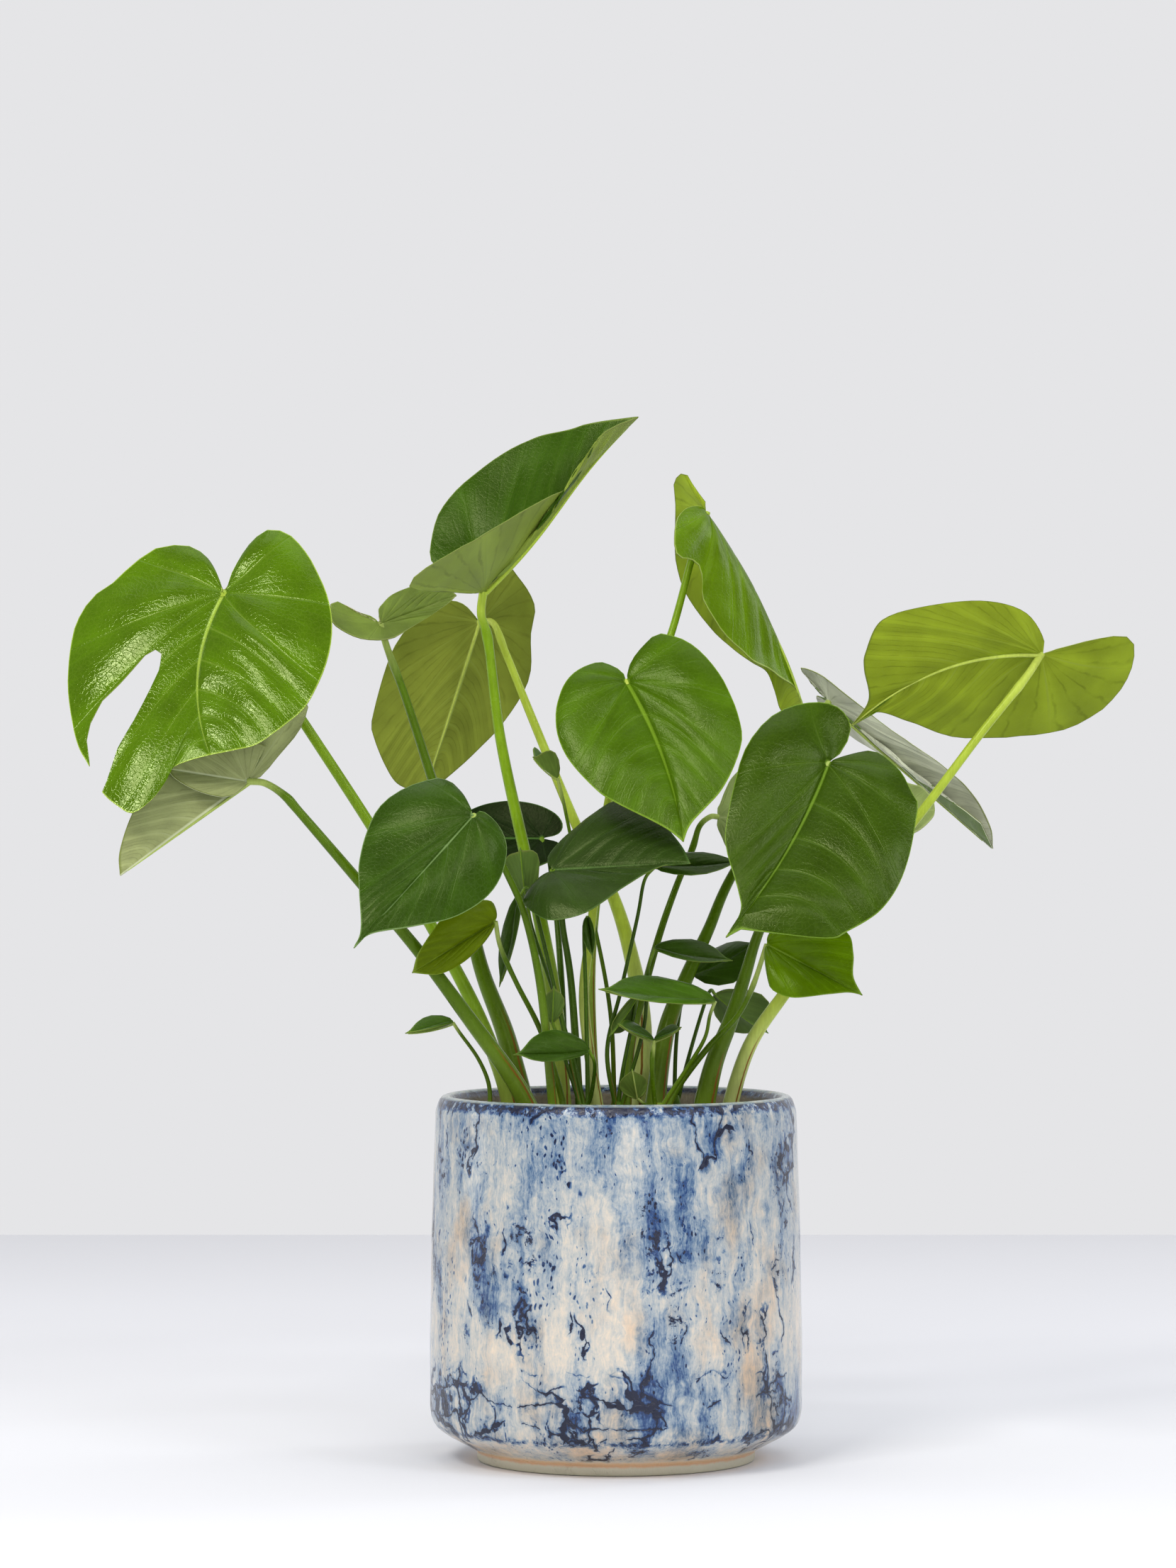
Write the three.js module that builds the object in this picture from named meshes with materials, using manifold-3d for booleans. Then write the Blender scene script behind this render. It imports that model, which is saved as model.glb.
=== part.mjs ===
// A young potted monstera: a bunch of long-stalked heart-shaped leaves, one of them split by a deep
// notch, in a round glazed stoneware pot filled with soil. Millimetres, +Z up, +Y away from the
// front; the origin is the middle of the pot's foot.
//
// Points of the plant are given as they are sighted from the front: x and z where the line of sight
// crosses the plane y = 0 through the pot's axis, and y, how far behind that plane the point lies.

import * as THREE from "three";
import { mergeVertices } from "three/addons/utils/BufferGeometryUtils.js";
import Module from "manifold-3d";

const wasm = await Module();
wasm.setup();

// Pot
const RIM_HEIGHT = 205.4;
const RIM_RADIUS = 101.8;
const BODY_RADIUS = 105;
const INNER_RADIUS = 90;
const FOOT_RADIUS = 78.3;
const FLOOR_HEIGHT = 18;
const POT_SIDES = 48;

// Soil
const SOIL_HEIGHT = 191.5;
const CLEARANCE = 0.35;

// Plant
const EYE = new THREE.Vector3(-15.8, -2940, 380.6);
const BLADE_THICKNESS = 0.9;
const STALK_FOOT = 181;
const WIDEST = 0.25;
const FAN = 0.22;

// Half outlines of a blade: s along the midrib from the stalk (0) to the tip (1), v across it.
const HEART = [[-0.07, 0.03], [-0.17, 0.16], [-0.20, 0.40], [-0.14, 0.68], [0.02, 0.91], [0.25, 1.0],
  [0.48, 0.90], [0.68, 0.66], [0.83, 0.36], [0.92, 0.13], [0.965, 0.045], [1.0, 0.0]];
const OVAL = [[-0.01, 0.04], [-0.03, 0.20], [-0.01, 0.50], [0.10, 0.83], [0.30, 1.0], [0.50, 0.93],
  [0.70, 0.68], [0.84, 0.36], [0.93, 0.12], [0.97, 0.04], [1.0, 0.0]];

// The deep notch of the split leaf, sighted.
const NOTCH = [[-297, 391], [-298.5, 405], [-296.5, 415], [-290, 428], [-280, 438], [-266, 453.5],
  [-260, 456.5], [-256.5, 454], [-258, 445], [-263, 434], [-272, 416], [-281, 400], [-287, 383],
  [-290, 376], [-296, 366], [-304, 380]];

// Leaves: stalk end J, tip T, and the widest points A and B of the two halves; rimA and rimB are the
// sighted outlines of the halves where they differ from HEART; sway and arch bend the midrib sideways
// and upwards, bulge swells each half, lean is how far further back the whole leaf stands; even spaces
// the rows evenly along the rim; fold is a lobe that is folded over the blade; the stalk runs down to
// the soil, r its radius at foot and top.
const LEAVES = [
  ["leaf_split", {"lean": -15, "J": [-221.5, -20, 488.5], "T": [-229, -70, 397],
    "A": [-309, -30, 440], "B": [-160, -40, 470],
    "sway": -11, "bulge": 4, "columns": 3, "even": 1,
    "rimA": [[-226, 500], [-232, 509.5], [-240, 514.5], [-248, 515.5], [-258.5, 514], [-270, 506.5],
      [-283, 494.5], [-295, 486], [-303, 474.5], [-307, 462.3], [-309, 447], [-309, 431.5],
      [-307, 416], [-303, 401], [-297.5, 391], [-290, 376], [-281, 368], [-273, 364],
      [-264, 370], [-257, 378], [-251, 389], [-242, 393.5]],
    "rimB": [[-219, 493.5], [-217, 499], [-212.5, 507], [-206.5, 516], [-200, 522.5], [-195, 524],
      [-189, 523], [-181.5, 519], [-174, 510], [-168, 499], [-163, 487], [-160.4, 475],
      [-160.4, 463], [-163, 450], [-168.5, 436], [-175.5, 424], [-185, 415.5], [-195, 408],
      [-204, 402.5], [-216, 399.5]],
    "stem": [[-212, 0, 470], [-180, 4, 421], [-137, 0, 355], [-104, -3, 300],
      [-80, -6, 255], [-64, -8, 215], [-58, -9, 190]], "r": [6, 2.6]}],
  ["leaf_low_left", {"lean": -10, "J": [-208, -46, 382], "T": [-280, -66, 329],
    "A": [-250, -52, 394], "B": [-236, 2, 372],
    "rimA": [[-200, 385], [-190, 397], [-178, 412], [-174, 427], [-186, 430], [-210, 424], [-237, 409],
      [-256, 391], [-272, 366], [-280, 343]],
    "fold": {"J": [-208, -46.4, 382], "T": [-253, -58, 389], "A": [-224, -50, 403],
      "B": [-229, -60, 375],
      "rimA": [[-203, 392], [-198, 403], [-214, 405.5], [-233, 402.5], [-247, 396]],
      "rimB": [[-210, 379], [-218, 373.5], [-229, 374.5], [-240, 378.5], [-249, 384]]},
    "stem": [[-198, -47, 381], [-187, -48, 374], [-178, -48, 364], [-147, -47, 328],
      [-112, -44, 287], [-82, -39, 247], [-58, -35, 214], [-46, -33, 190]], "r": [7, 1.9]}],
  ["leaf_top", {"lean": 10, "J": [-75, 0, 489], "T": [12.5, 30, 588],
    "A": [-89, 30, 548], "B": [-69, -50, 530],
    "rimA": [[-88, 492], [-103, 505], [-105, 512], [-100, 533], [-86, 550], [-65, 566], [-45, 576],
      [-25, 581], [-17, 583.5], [-3, 586]],
    "rimB": [[-92, 489], [-110, 490], [-117, 494], [-103, 505], [-77, 520], [-55, 533], [-37, 543],
      [-26, 548], [-15, 562], [-2, 579]],
    "stem": [[-76, 0, 476], [-72, 0, 460], [-65, -2, 405], [-51, -6, 340], [-42, -8, 300],
      [-34, -9, 250], [-30, -10, 190]], "r": [6.5, 2.4]}],
  ["leaf_back_left", {"lean": 30, "J": [-133, -8, 471], "T": [-90, 64, 487],
    "A": [-119, 36, 496], "B": [-115, 0, 462],
    "rimA": [[-134, 479], [-132, 482], [-127, 487], [-117, 491.5], [-107, 493], [-97, 492]],
    "rimB": [[-138, 475], [-147, 478], [-157, 483.5], [-161, 482], [-160, 472], [-150, 465],
      [-139, 462], [-127, 462.5], [-117, 468], [-101, 478], [-94, 483]],
    "stem": [[-129, -4, 457], [-119, 2, 430], [-104, 6, 384], [-90, 9, 340], [-77, 10, 280],
      [-62, 9, 238], [-50, 8, 190]], "r": [8, 1.9]}],
  ["leaf_back_big", {"lean": 45, "J": [-77, 62, 472], "T": [-108, 112, 376],
    "A": [-135, 94, 425], "B": [-48, 82, 450],
    "bulge": 4,
    "rimA": [[-85, 481], [-92, 484], [-100, 483], [-110, 477], [-126, 456], [-137, 420], [-137, 408],
      [-127, 385], [-118, 378]],
    "rimB": [[-74, 488], [-70, 500], [-63, 505.5], [-57, 500], [-46, 482], [-48, 465], [-49, 440],
      [-63, 416], [-80, 398], [-98, 382]],
    "stem": [[-69, 50, 471], [-62, 46, 454], [-45, 42, 412], [-20, 36, 352], [-2, 32, 318],
      [9, 29, 282], [15, 27, 245], [14, 26, 190]], "r": [7.5, 1.9]}],
  ["leaf_top_right", {"lean": 40, "J": [51.5, 50, 534], "T": [105.5, 40, 425],
    "A": [37.5, 82, 492], "B": [43, 12, 497],
    "arch": 5, "bulge": 5,
    "rimA": [[50, 541], [45.3, 546.5], [40.7, 554.3], [37.3, 556], [33.5, 552.5], [32.7, 548.5],
      [33.5, 538], [33.3, 524], [33.3, 511.7], [34.4, 503.7], [36.7, 494.3], [40, 487],
      [47.3, 476.3], [56, 465.7], [62.7, 459.7], [69.3, 454.3], [77.3, 448.7], [85, 444],
      [89.3, 434], [92.7, 423], [98, 418.5]],
    "rimB": [[49.5, 536.5], [46.7, 537.4], [42, 537], [37.3, 534.3], [34, 529], [32.9, 518.3],
      [33.7, 511.7], [36, 508.3], [42, 507.4], [47.3, 503], [48.7, 495.7], [49, 486.3],
      [52.7, 478.3], [59.3, 467.7], [66, 460.3], [71.3, 455.7], [77.3, 449.8], [85.3, 446],
      [92.7, 440.8], [100, 436], [103, 431]],
    "stem": [[48, 48, 523], [42.5, 45, 507], [31, 42, 465], [14, 32, 420], [-3, 22, 372],
      [-12, 15, 312], [-15, 13, 262], [-12, 14, 190]], "r": [4.5, 1.9]}],
  ["leaf_centre", {"lean": -10, "J": [6, -30, 438.5], "T": [38, -75, 348],
    "A": [-32, -40, 420], "B": [68, -45, 425],
    "sway": 5, "bulge": 5,
    "rimA": [[4, 443], [0, 446], [-11, 449], [-27, 440], [-34, 420], [-29, 398], [-12, 378], [0, 370],
      [18, 361], [29, 355]],
    "rimB": [[9, 450], [20, 463], [27, 465], [43, 459], [60, 440], [70, 415], [70, 400],
      [60, 378], [43, 359]],
    "stem": [[5, -12, 425], [0, -4, 395], [-8, -2, 350], [-14, -4, 300], [-18, -6, 255],
      [-9, -8, 190]], "r": [4, 1.9]}],
  ["leaf_right_big", {"lean": -20, "J": [119.5, -40, 392.5], "T": [62, -90, 294],
    "A": [66, -55, 372], "B": [168, -60, 360],
    "sway": 5, "bulge": 5,
    "rimA": [[128, 400], [132.5, 413], [125, 424], [110, 426.5], [88, 419], [72, 398], [63, 362],
      [62, 345],
      [69, 320], [70, 308]],
    "rimB": [[130, 396], [146, 399], [160, 388], [168, 373], [170, 365], [163, 332], [150, 310],
      [130, 297],
      [120, 293.5], [92, 296], [76, 300]],
    "stem": [[114, -20, 378], [100, -8, 342], [81, -2, 298], [73, 0, 273], [65, 1, 248],
      [55, 1, 222], [48, 0, 190]], "r": [8, 2]}],
  ["leaf_far_right", {"lean": 10, "J": [240, 10, 454], "T": [133, 0, 413.5],
    "A": [190, -25, 484], "B": [225, 50, 407],
    "sway": 16, "bulge": -4,
    "rimA": [[241, 463], [230, 478], [207, 484], [175, 481], [150, 473], [141, 455], [140, 445],
      [142.5, 428]],
    "rimB": [[250, 457], [272, 462.5], [287, 464], [292.6, 458], [289.5, 443], [280.6, 429], [267, 418],
      [254, 411.6], [245, 409.5], [215, 407], [190, 407.5], [168, 415], [148, 421]],
    "stem": [[230, 1, 439], [205, -3, 408], [171, -2, 363], [130, 2, 311], [97, 6, 265],
      [75, 10, 232], [62, 12, 190]], "r": [5.5, 2.2]}],
  ["leaf_behind_right", {"lean": 45, "J": [120, 55, 427], "T": [212.5, 85, 344],
    "A": [146, 45, 422], "B": [150, 100, 392],
    "rimA": [[112, 436], [104, 446], [116, 442], [128, 432.5], [140, 423], [152, 413.5],
      [165, 404.5], [180, 394], [192, 384.5], [201, 375], [207, 366], [211.5, 356], [212.5, 350]],
    "rimB": [[113, 430], [120, 418], [131, 408.5], [151, 396.8], [165.5, 386], [178, 378.5],
      [192, 369], [203, 361], [208.5, 355.5], [211, 348]],
    "stem": [[112, 46, 412], [94, 34, 375], [65, 22, 328], [52, 18, 298], [40, 14, 272],
      [28, 10, 240], [21, 8, 190]], "r": [7.5, 2]}],
  ["leaf_pale_right", {"lean": 20, "J": [58, 16, 362], "T": [180, 26, 366],
    "A": [88, 34, 394], "B": [88, 2, 334],
    "rimA": [[57, 366], [59, 370], [62, 378], [67, 386], [76, 392], [92, 395], [120, 393],
      [150, 386], [167, 380.5], [172.5, 379], [177, 374.5], [179.5, 370]],
    "rimB": [[57, 357], [59.5, 351], [63, 344], [72, 335], [90, 329], [120, 328], [148, 336],
      [165, 350.5], [172, 355], [177, 359.5], [179.5, 363]],
    "stem": [[53, 15, 362], [47, 14, 356.5], [43, 12, 344], [34.5, 10, 324], [25, 6, 297],
      [16, 4, 265], [8, 5, 230], [6, 5, 190]], "r": [3, 1.6]}],
  ["leaf_front_left", {"lean": -20, "J": [-80.5, -70, 363], "T": [-148, -110, 288],
    "A": [-144, -75, 345],
    "B": [-66, -80, 325], "bulge": 4,
    "rimA": [[-84, 369], [-90, 379], [-97, 383], [-105, 383], [-125, 375], [-138, 360], [-145, 335],
      [-144, 300]],
    "rimB": [[-75, 365], [-65, 355], [-62, 340], [-70, 320], [-90, 306], [-115, 300], [-138, 296]],
    "stem": [[-72, -56, 350], [-62, -52, 331], [-51, -50, 305], [-42, -49, 262],
      [-35, -50, 190]], "r": [3.2, 1.6]}],
  ["leaf_dark_mid", {"lean": -5, "J": [-36, -45, 332], "T": [42, -70, 336],
    "A": [-8, -25, 366], "B": [-20, -75, 308],
    "bulge": 3,
    "rimA": [[-38, 340], [-25, 354], [-5, 369], [3, 370], [22, 362], [36, 347]],
    "rimB": [[-45, 326], [-52, 314], [-42, 305], [-33, 304], [-15, 309], [5, 323], [25, 334]],
    "stem": [[-32, -36, 322], [-30, -33, 300], [-25, -31, 265], [-20, -31, 190]],
    "r": [3, 1.5]}],
  ["leaf_dark_back", {"lean": 25, "J": [-42, 50, 350], "T": [-105, 70, 350],
    "A": [-60, 66, 371], "B": [-64, 30, 331],
    "stem": [[-37, 42, 335], [-33, 36, 300], [-30, 28, 250], [-30, 24, 190]], "r": [3, 1.5]}],
  ["leaf_lower_right", {"lean": -10, "J": [85, -20, 290], "T": [139, -50, 261.5],
    "A": [112, -30, 298], "B": [98, -40, 261],
    "bulge": 4,
    "rimA": [[90, 300], [110, 304], [130, 297], [134, 285], [134, 272]],
    "rimB": [[84, 283], [86, 270], [89, 264], [100, 260], [120, 262], [131, 263]],
    "stem": [[77, -14, 266], [68, -12, 249], [52, -12, 232], [34, -15, 208], [27, -18, 190]],
    "r": [2.6, 1.4]}],
  ["leaf_lower_left", {"lean": -10, "J": [-68, -40, 303], "T": [-115, -60, 274],
    "A": [-94, -50, 308], "B": [-86, -50, 280],
    "bulge": 3,
    "rimA": [[-68, 310], [-73, 315], [-92, 311], [-110, 288]],
    "rimB": [[-75, 291], [-85, 281], [-95, 275], [-103, 273]],
    "stem": [[-65, -36, 288], [-56, -30, 268], [-42, -24, 240], [-31, -26, 205],
      [-30, -28, 190]], "r": [2.4, 1.3]}],
];

// Shoots: small young leaves on thin stalks that share one foot [x, y, radius] in the soil.
const SHOOTS = [
  ["shoots_right", [
    {"J": [56, -48, 258], "T": [-10, -56, 265], "A": [24, -36, 272], "B": [26, -66, 257],
      "stem": [[53, -46, 250], [50, -42, 237], [40, -37, 220], [27, -34, 200]]},
    {"J": [21.5, -38, 236], "T": [1, -46, 245.5], "A": [10, -32, 246], "B": [12, -48, 239],
      "stem": [[20, -37, 224], [22, -35, 200]]},
    {"J": [21.5, -38, 236], "T": [37, -44, 243.5], "A": [29, -32, 244], "B": [30, -46, 239],
      "stem": [[21, -37, 220], [22, -35, 200]]},
    {"J": [12, -42, 203], "T": [9, -50, 220], "A": [2, -45, 209], "B": [18, -44, 211],
      "stem": [[17, -38, 199], [22, -35, 196]]}], [24, -34, 3.6]],
  ["shoots_mid", [
    {"J": [22, -24, 334], "T": [72, -14, 337], "A": [40, -10, 342], "B": [42, -32, 329],
      "stem": [[16, -24, 326], [12, -25, 305], [3, -26, 265], [-5, -27, 230], [0, -26, 198]]},
    {"J": [22, -30, 288], "T": [66, -24, 281], "A": [42, -16, 293], "B": [40, -38, 281],
      "stem": [[18, -28, 275], [16, -27, 245], [8, -26, 215], [3, -26, 198]]},
    {"J": [12, -28, 262], "T": [-4, -36, 238], "A": [9, -26, 246], "B": [1, -34, 251],
      "stem": [[10, -28, 250], [4, -26, 220], [1, -26, 198]]}], [1, -26, 3.4]],
  ["shoots_front", [
    {"J": [-15, -62, 230], "T": [-58, -74, 228], "A": [-34, -60, 242], "B": [-34, -74, 224],
      "stem": [[-12, -58, 222], [-14, -50, 205], [-17, -48, 198]]},
    {"J": [-54, -32, 318], "T": [-66, -24, 266], "A": [-64, -22, 298], "B": [-56, -33, 296],
      "stem": [[-50, -36, 322], [-46, -37, 312], [-34, -40, 262], [-21, -46, 204]]},
    {"J": [-50, -26, 312], "T": [-54, -34, 345], "A": [-63, -24, 332], "B": [-43, -30, 336],
      "stem": [[-46, -30, 295], [-31, -39, 250], [-18, -47, 200]]},
    {"J": [-36, -43, 246], "T": [-35, -46, 267], "A": [-42, -43, 255], "B": [-29, -43, 256],
      "stem": [[-32, -43, 235], [-22, -46, 205]]},
    {"J": [-16, -42, 306], "T": [-13, -50, 282], "A": [-19, -46, 296], "B": [-12, -48, 297],
      "stem": [[-18, -41, 298], [-17, -43, 260], [-16, -48, 200]]}], [-18, -48, 3.6]],
  ["shoot_left", [
    {"J": [-92, -26, 246], "T": [-119, -34, 240], "A": [-104, -20, 250], "B": [-103, -36, 243],
      "stem": [[-88, -24, 240], [-78, -22, 226], [-72, -21, 212], [-71, -22, 198]]}],
    [-71, -22, 1.8]],
  ["shoots_back", [
    {"J": [44, 40, 273], "T": [80, 32, 292], "A": [56, 52, 288], "B": [66, 30, 268],
      "stem": [[38, 40, 262], [34, 36, 235], [33, 32, 198]]},
    {"J": [56, 66, 262], "T": [86, 92, 240], "A": [82, 74, 262], "B": [60, 88, 244],
      "stem": [[52, 60, 262], [42, 42, 230], [34, 32, 198]]}], [34, 32, 3.6]],
  ["shoot_inner", [
    {"J": [-33, 6, 384], "T": [-47, 0, 396], "A": [-44, 12, 400], "B": [-34, -4, 398],
      "stem": [[-30, 7, 372], [-23, 6, 340], [-12, 8, 300], [-3, 14, 250], [-1, 22, 198]]}],
    [-1, 22, 2.4]],
];

function sighted([x, y, z]) {
  const onPlane = new THREE.Vector3(x, 0, z);
  return onPlane.sub(EYE).multiplyScalar(1 + y / -EYE.y).add(EYE);
}

// The leaf moved back by its lean, the stalk with it in proportion to its height.
function leaned(leaf) {
  const lean = leaf.lean ?? 0;
  const move = ([x, y, z]) => [x, y + lean, z];
  const share = (z) => Math.min(1, Math.max(0, (z - 200) / (leaf.J[2] - 200)));
  const bend = ([x, y, z]) => [x, y + lean * share(z), z];
  if (leaf.fold) leaf = { ...leaf, fold: leaned({ stem: [], ...leaf.fold, lean }) };
  return { ...leaf, J: move(leaf.J), T: move(leaf.T), A: move(leaf.A), B: move(leaf.B),
    stem: leaf.stem.map(bend) };
}

// Catmull-Rom curve through points given as arrays, u from 0 to 1.
function along(points, u) {
  const n = points.length - 1;
  const f = Math.min(Math.max(u, 0), 1) * n;
  const i = Math.min(Math.floor(f), n - 1);
  const t = f - i;
  const p1 = points[i];
  const p2 = points[i + 1];
  return p1.map((b, c) => {
    const a = i > 0 ? points[i - 1][c] : 2 * b - p2[c];
    const d = i + 2 <= n ? points[i + 2][c] : 2 * p2[c] - b;
    const e = p2[c];
    return 0.5 * (2 * b + (e - a) * t + (2 * a - 5 * b + 4 * e - d) * t * t
      + (3 * b - a - 3 * e + d) * t * t * t);
  });
}

function solidOf(positions, triangles) {
  let geometry = new THREE.BufferGeometry();
  geometry.setAttribute("position", new THREE.Float32BufferAttribute(positions, 3));
  geometry.setIndex(triangles);
  geometry = mergeVertices(geometry, 1e-5);
  const mesh = new wasm.Mesh({ numProp: 3, vertProperties: geometry.attributes.position.array,
    triVerts: new Uint32Array(geometry.index.array) });
  return new wasm.Manifold(mesh);
}

function meshOf(name, solid, look) {
  const { vertProperties, triVerts } = solid.getMesh();
  const geometry = new THREE.BufferGeometry();
  geometry.setAttribute("position", new THREE.Float32BufferAttribute(vertProperties, 3));
  geometry.setIndex(Array.from(triVerts));
  geometry.computeVertexNormals();
  const mesh = new THREE.Mesh(geometry, new THREE.MeshStandardMaterial({ metalness: 0, ...look }));
  mesh.name = name;
  return mesh;
}

// The frame of a blade: midrib vector D, the two half vectors to the widest points, and the normal N
// of the upper face.
function bladeFrame(leaf) {
  const J = sighted(leaf.J);
  const D = sighted(leaf.T).sub(J);
  const widest = J.clone().addScaledVector(D, WIDEST);
  const A = sighted(leaf.A).sub(widest);
  const B = sighted(leaf.B).sub(widest);
  const N = D.clone().cross(B.clone().sub(A)).normalize();
  if (N.z < 0) N.negate();
  const X = N.clone().cross(D).normalize();
  return { J, D, A, B, N, X };
}

// Lays a sighted outline on the plane of a half blade: (s, v) of each point.
function laid(rim, frame, half) {
  const points = rim.map(([x, z]) => {
    const d = new THREE.Vector3(x, 0, z).sub(EYE);
    const across = new THREE.Matrix3().set(frame.D.x, half.x, -d.x, frame.D.y, half.y, -d.y,
      frame.D.z, half.z, -d.z);
    const sv = EYE.clone().sub(frame.J).applyMatrix3(across.invert());
    return [sv.x, sv.y];
  });
  return [[0, 0], ...points, [1, 0]];
}

// Rows of a half blade from the stalk end: each starts on the midrib at m and ends on the rim at
// (s, v). The first rows fan out from the stalk end into the basal lobe; the others end level with a
// point of the midrib, or evenly spaced along the rim.
function halfRows(outline, lobeRows, bodyRows, even) {
  const samples = 400;
  const line = [];
  for (let i = 0; i <= samples; i++) line.push(along(outline, i / samples));
  const length = [0];
  for (let i = 1; i <= samples; i++) {
    const ds = line[i][0] - line[i - 1][0];
    const dv = 0.5 * (line[i][1] - line[i - 1][1]);
    length.push(length[i - 1] + Math.hypot(ds, dv));
  }
  let turn = 0;
  for (let i = 0; i <= samples; i++) if (line[i][0] < FAN) turn = i;
  const rows = [];
  for (let i = 0; i <= lobeRows; i++) {
    const wanted = length[turn] * (0.12 + 0.88 * i / lobeRows);
    const k = length.findIndex((l) => l >= wanted);
    rows.push({ m: 0, s: line[k][0], v: line[k][1] });
  }
  for (let i = 1; i < bodyRows; i++) {
    const m = 1 - (1 - i / bodyRows) ** 1.3;
    let k = turn;
    const wanted = length[turn] + m * (length[samples] - length[turn]);
    if (even) while (k < samples && length[k] < wanted) k++;
    else while (k < samples && line[k][0] < FAN + m * (1 - FAN)) k++;
    rows.push({ m, s: line[k][0], v: line[k][1] });
  }
  rows.push({ m: 1, s: 1, v: 0 });
  return rows;
}

function bladePoint(frame, half, leaf, row, r) {
  const arc = 0.05 * Math.sin(Math.PI * r) * Math.min(1, 6 * row.m) * Math.min(1, 5 * (1 - row.m));
  const s = row.m + (row.s - row.m) * r - arc;
  const bow = (s > 0 ? 4 * s * (1 - s) : 1.5 * s) * (1 - r);
  return frame.J.clone().addScaledVector(frame.D, s).addScaledVector(half, row.v * r)
    .addScaledVector(frame.X, (leaf.sway ?? 0) * bow)
    .addScaledVector(frame.N, (leaf.arch ?? 0) * bow + (leaf.bulge ?? 0) * 4 * r * (1 - r) * row.v);
}

// A blade: the two half grids share the midrib; both faces get the same triangles, one thickness apart.
function blade(leaf, lobeRows, bodyRows, columns, plain) {
  const frame = bladeFrame(leaf);
  const points = [];
  const index = new Map();
  const triangles = [];
  const vertex = (p) => {
    const key = `${p.x.toFixed(3)},${p.y.toFixed(3)},${p.z.toFixed(3)}`;
    if (!index.has(key)) {
      index.set(key, points.length);
      points.push(p);
    }
    return index.get(key);
  };
  for (const [half, rim] of [[frame.A, leaf.rimA], [frame.B, leaf.rimB]]) {
    const outline = rim ? laid(rim, frame, half) : plain;
    const rows = halfRows(outline, lobeRows, bodyRows, leaf.even);
    const grid = rows.map((row) => Array.from({ length: columns + 1 },
      (_, j) => vertex(bladePoint(frame, half, leaf, row, j / columns))));
    const flipped = frame.D.clone().cross(half).dot(frame.N) > 0;
    for (let i = 0; i + 1 < grid.length; i++) {
      for (let j = 0; j < columns; j++) {
        const a = grid[i][j];
        const b = grid[i][j + 1];
        const c = grid[i + 1][j + 1];
        const d = grid[i + 1][j];
        for (const t of [[a, b, c], [a, c, d]]) {
          if (new Set(t).size === 3) triangles.push(flipped ? [t[0], t[2], t[1]] : t);
        }
      }
    }
  }
  return thickened(points, triangles, BLADE_THICKNESS);
}

function thickened(points, triangles, thickness) {
  const normals = points.map(() => new THREE.Vector3());
  const edges = new Map();
  for (const [a, b, c] of triangles) {
    const n = points[b].clone().sub(points[a]).cross(points[c].clone().sub(points[a]));
    for (const i of [a, b, c]) normals[i].add(n);
    for (const [p, q] of [[a, b], [b, c], [c, a]]) edges.set(`${p},${q}`, [p, q]);
  }
  const count = points.length;
  const positions = [];
  for (const side of [0.5, -0.5]) {
    points.forEach((p, i) => {
      const q = p.clone().addScaledVector(normals[i].clone().normalize(), side * thickness);
      positions.push(q.x, q.y, q.z);
    });
  }
  const faces = [];
  for (const [a, b, c] of triangles) faces.push(a, b, c, c + count, b + count, a + count);
  for (const [p, q] of edges.values()) {
    if (!edges.has(`${q},${p}`)) faces.push(p, p + count, q + count, p, q + count, q);
  }
  return solidOf(positions, faces);
}

// Rings of a stalk along a smooth curve from the blade down, wider towards its foot.
function stalkRings(path, footRadius, topRadius, sides, grow = 0) {
  const points = path.map((p) => sighted(p).toArray());
  const steps = Math.ceil(1.6 * (points.length - 1));
  const rings = [];
  let u = new THREE.Vector3(0, 1, 0);
  for (let i = 0; i <= steps; i++) {
    const f = i / steps;
    const at = new THREE.Vector3(...along(points, f));
    const ahead = new THREE.Vector3(...along(points, Math.min(1, f + 0.01)));
    const behind = new THREE.Vector3(...along(points, Math.max(0, f - 0.01)));
    const t = ahead.sub(behind).normalize();
    u = u.clone().addScaledVector(t, -t.dot(u)).normalize();
    const w = t.clone().cross(u);
    const radius = topRadius + (footRadius - topRadius) * f * f + grow;
    rings.push(Array.from({ length: sides }, (_, k) => {
      const angle = 2 * Math.PI * k / sides;
      return at.clone().addScaledVector(u, radius * Math.cos(angle))
        .addScaledVector(w, radius * Math.sin(angle));
    }));
  }
  return rings;
}

// A solid through closed rings of points, with flat ends.
function loft(rings) {
  const sides = rings[0].length;
  const positions = rings.flat().flatMap((p) => [p.x, p.y, p.z]);
  const faces = [];
  for (let i = 0; i + 1 < rings.length; i++) {
    for (let k = 0; k < sides; k++) {
      const a = i * sides + k;
      const b = i * sides + (k + 1) % sides;
      faces.push(a, b, b + sides, a, b + sides, a + sides);
    }
  }
  const last = (rings.length - 1) * sides;
  for (let k = 1; k + 1 < sides; k++) faces.push(0, k + 1, k, last, last + k, last + k + 1);
  const solid = solidOf(positions, faces);
  return solid.volume() < 0 ? solidOf(positions, faces.reverse()) : solid;
}

// A round body from a profile of [radius, height] that starts and ends on the axis.
function turned(profile, sides) {
  const lathe = new THREE.LatheGeometry(profile.map(([r, z]) => new THREE.Vector2(r, z)), sides);
  lathe.rotateX(Math.PI / 2);
  lathe.deleteAttribute("normal");
  lathe.deleteAttribute("uv");
  const welded = mergeVertices(lathe, 1e-3);
  const index = welded.index.array;
  const faces = [];
  for (let i = 0; i < index.length; i += 3) {
    const t = [index[i], index[i + 1], index[i + 2]];
    if (new Set(t).size === 3) faces.push(...t);
  }
  const positions = Array.from(welded.attributes.position.array);
  const solid = solidOf(positions, faces);
  return solid.volume() < 0 ? solidOf(positions, faces.reverse()) : solid;
}

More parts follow.
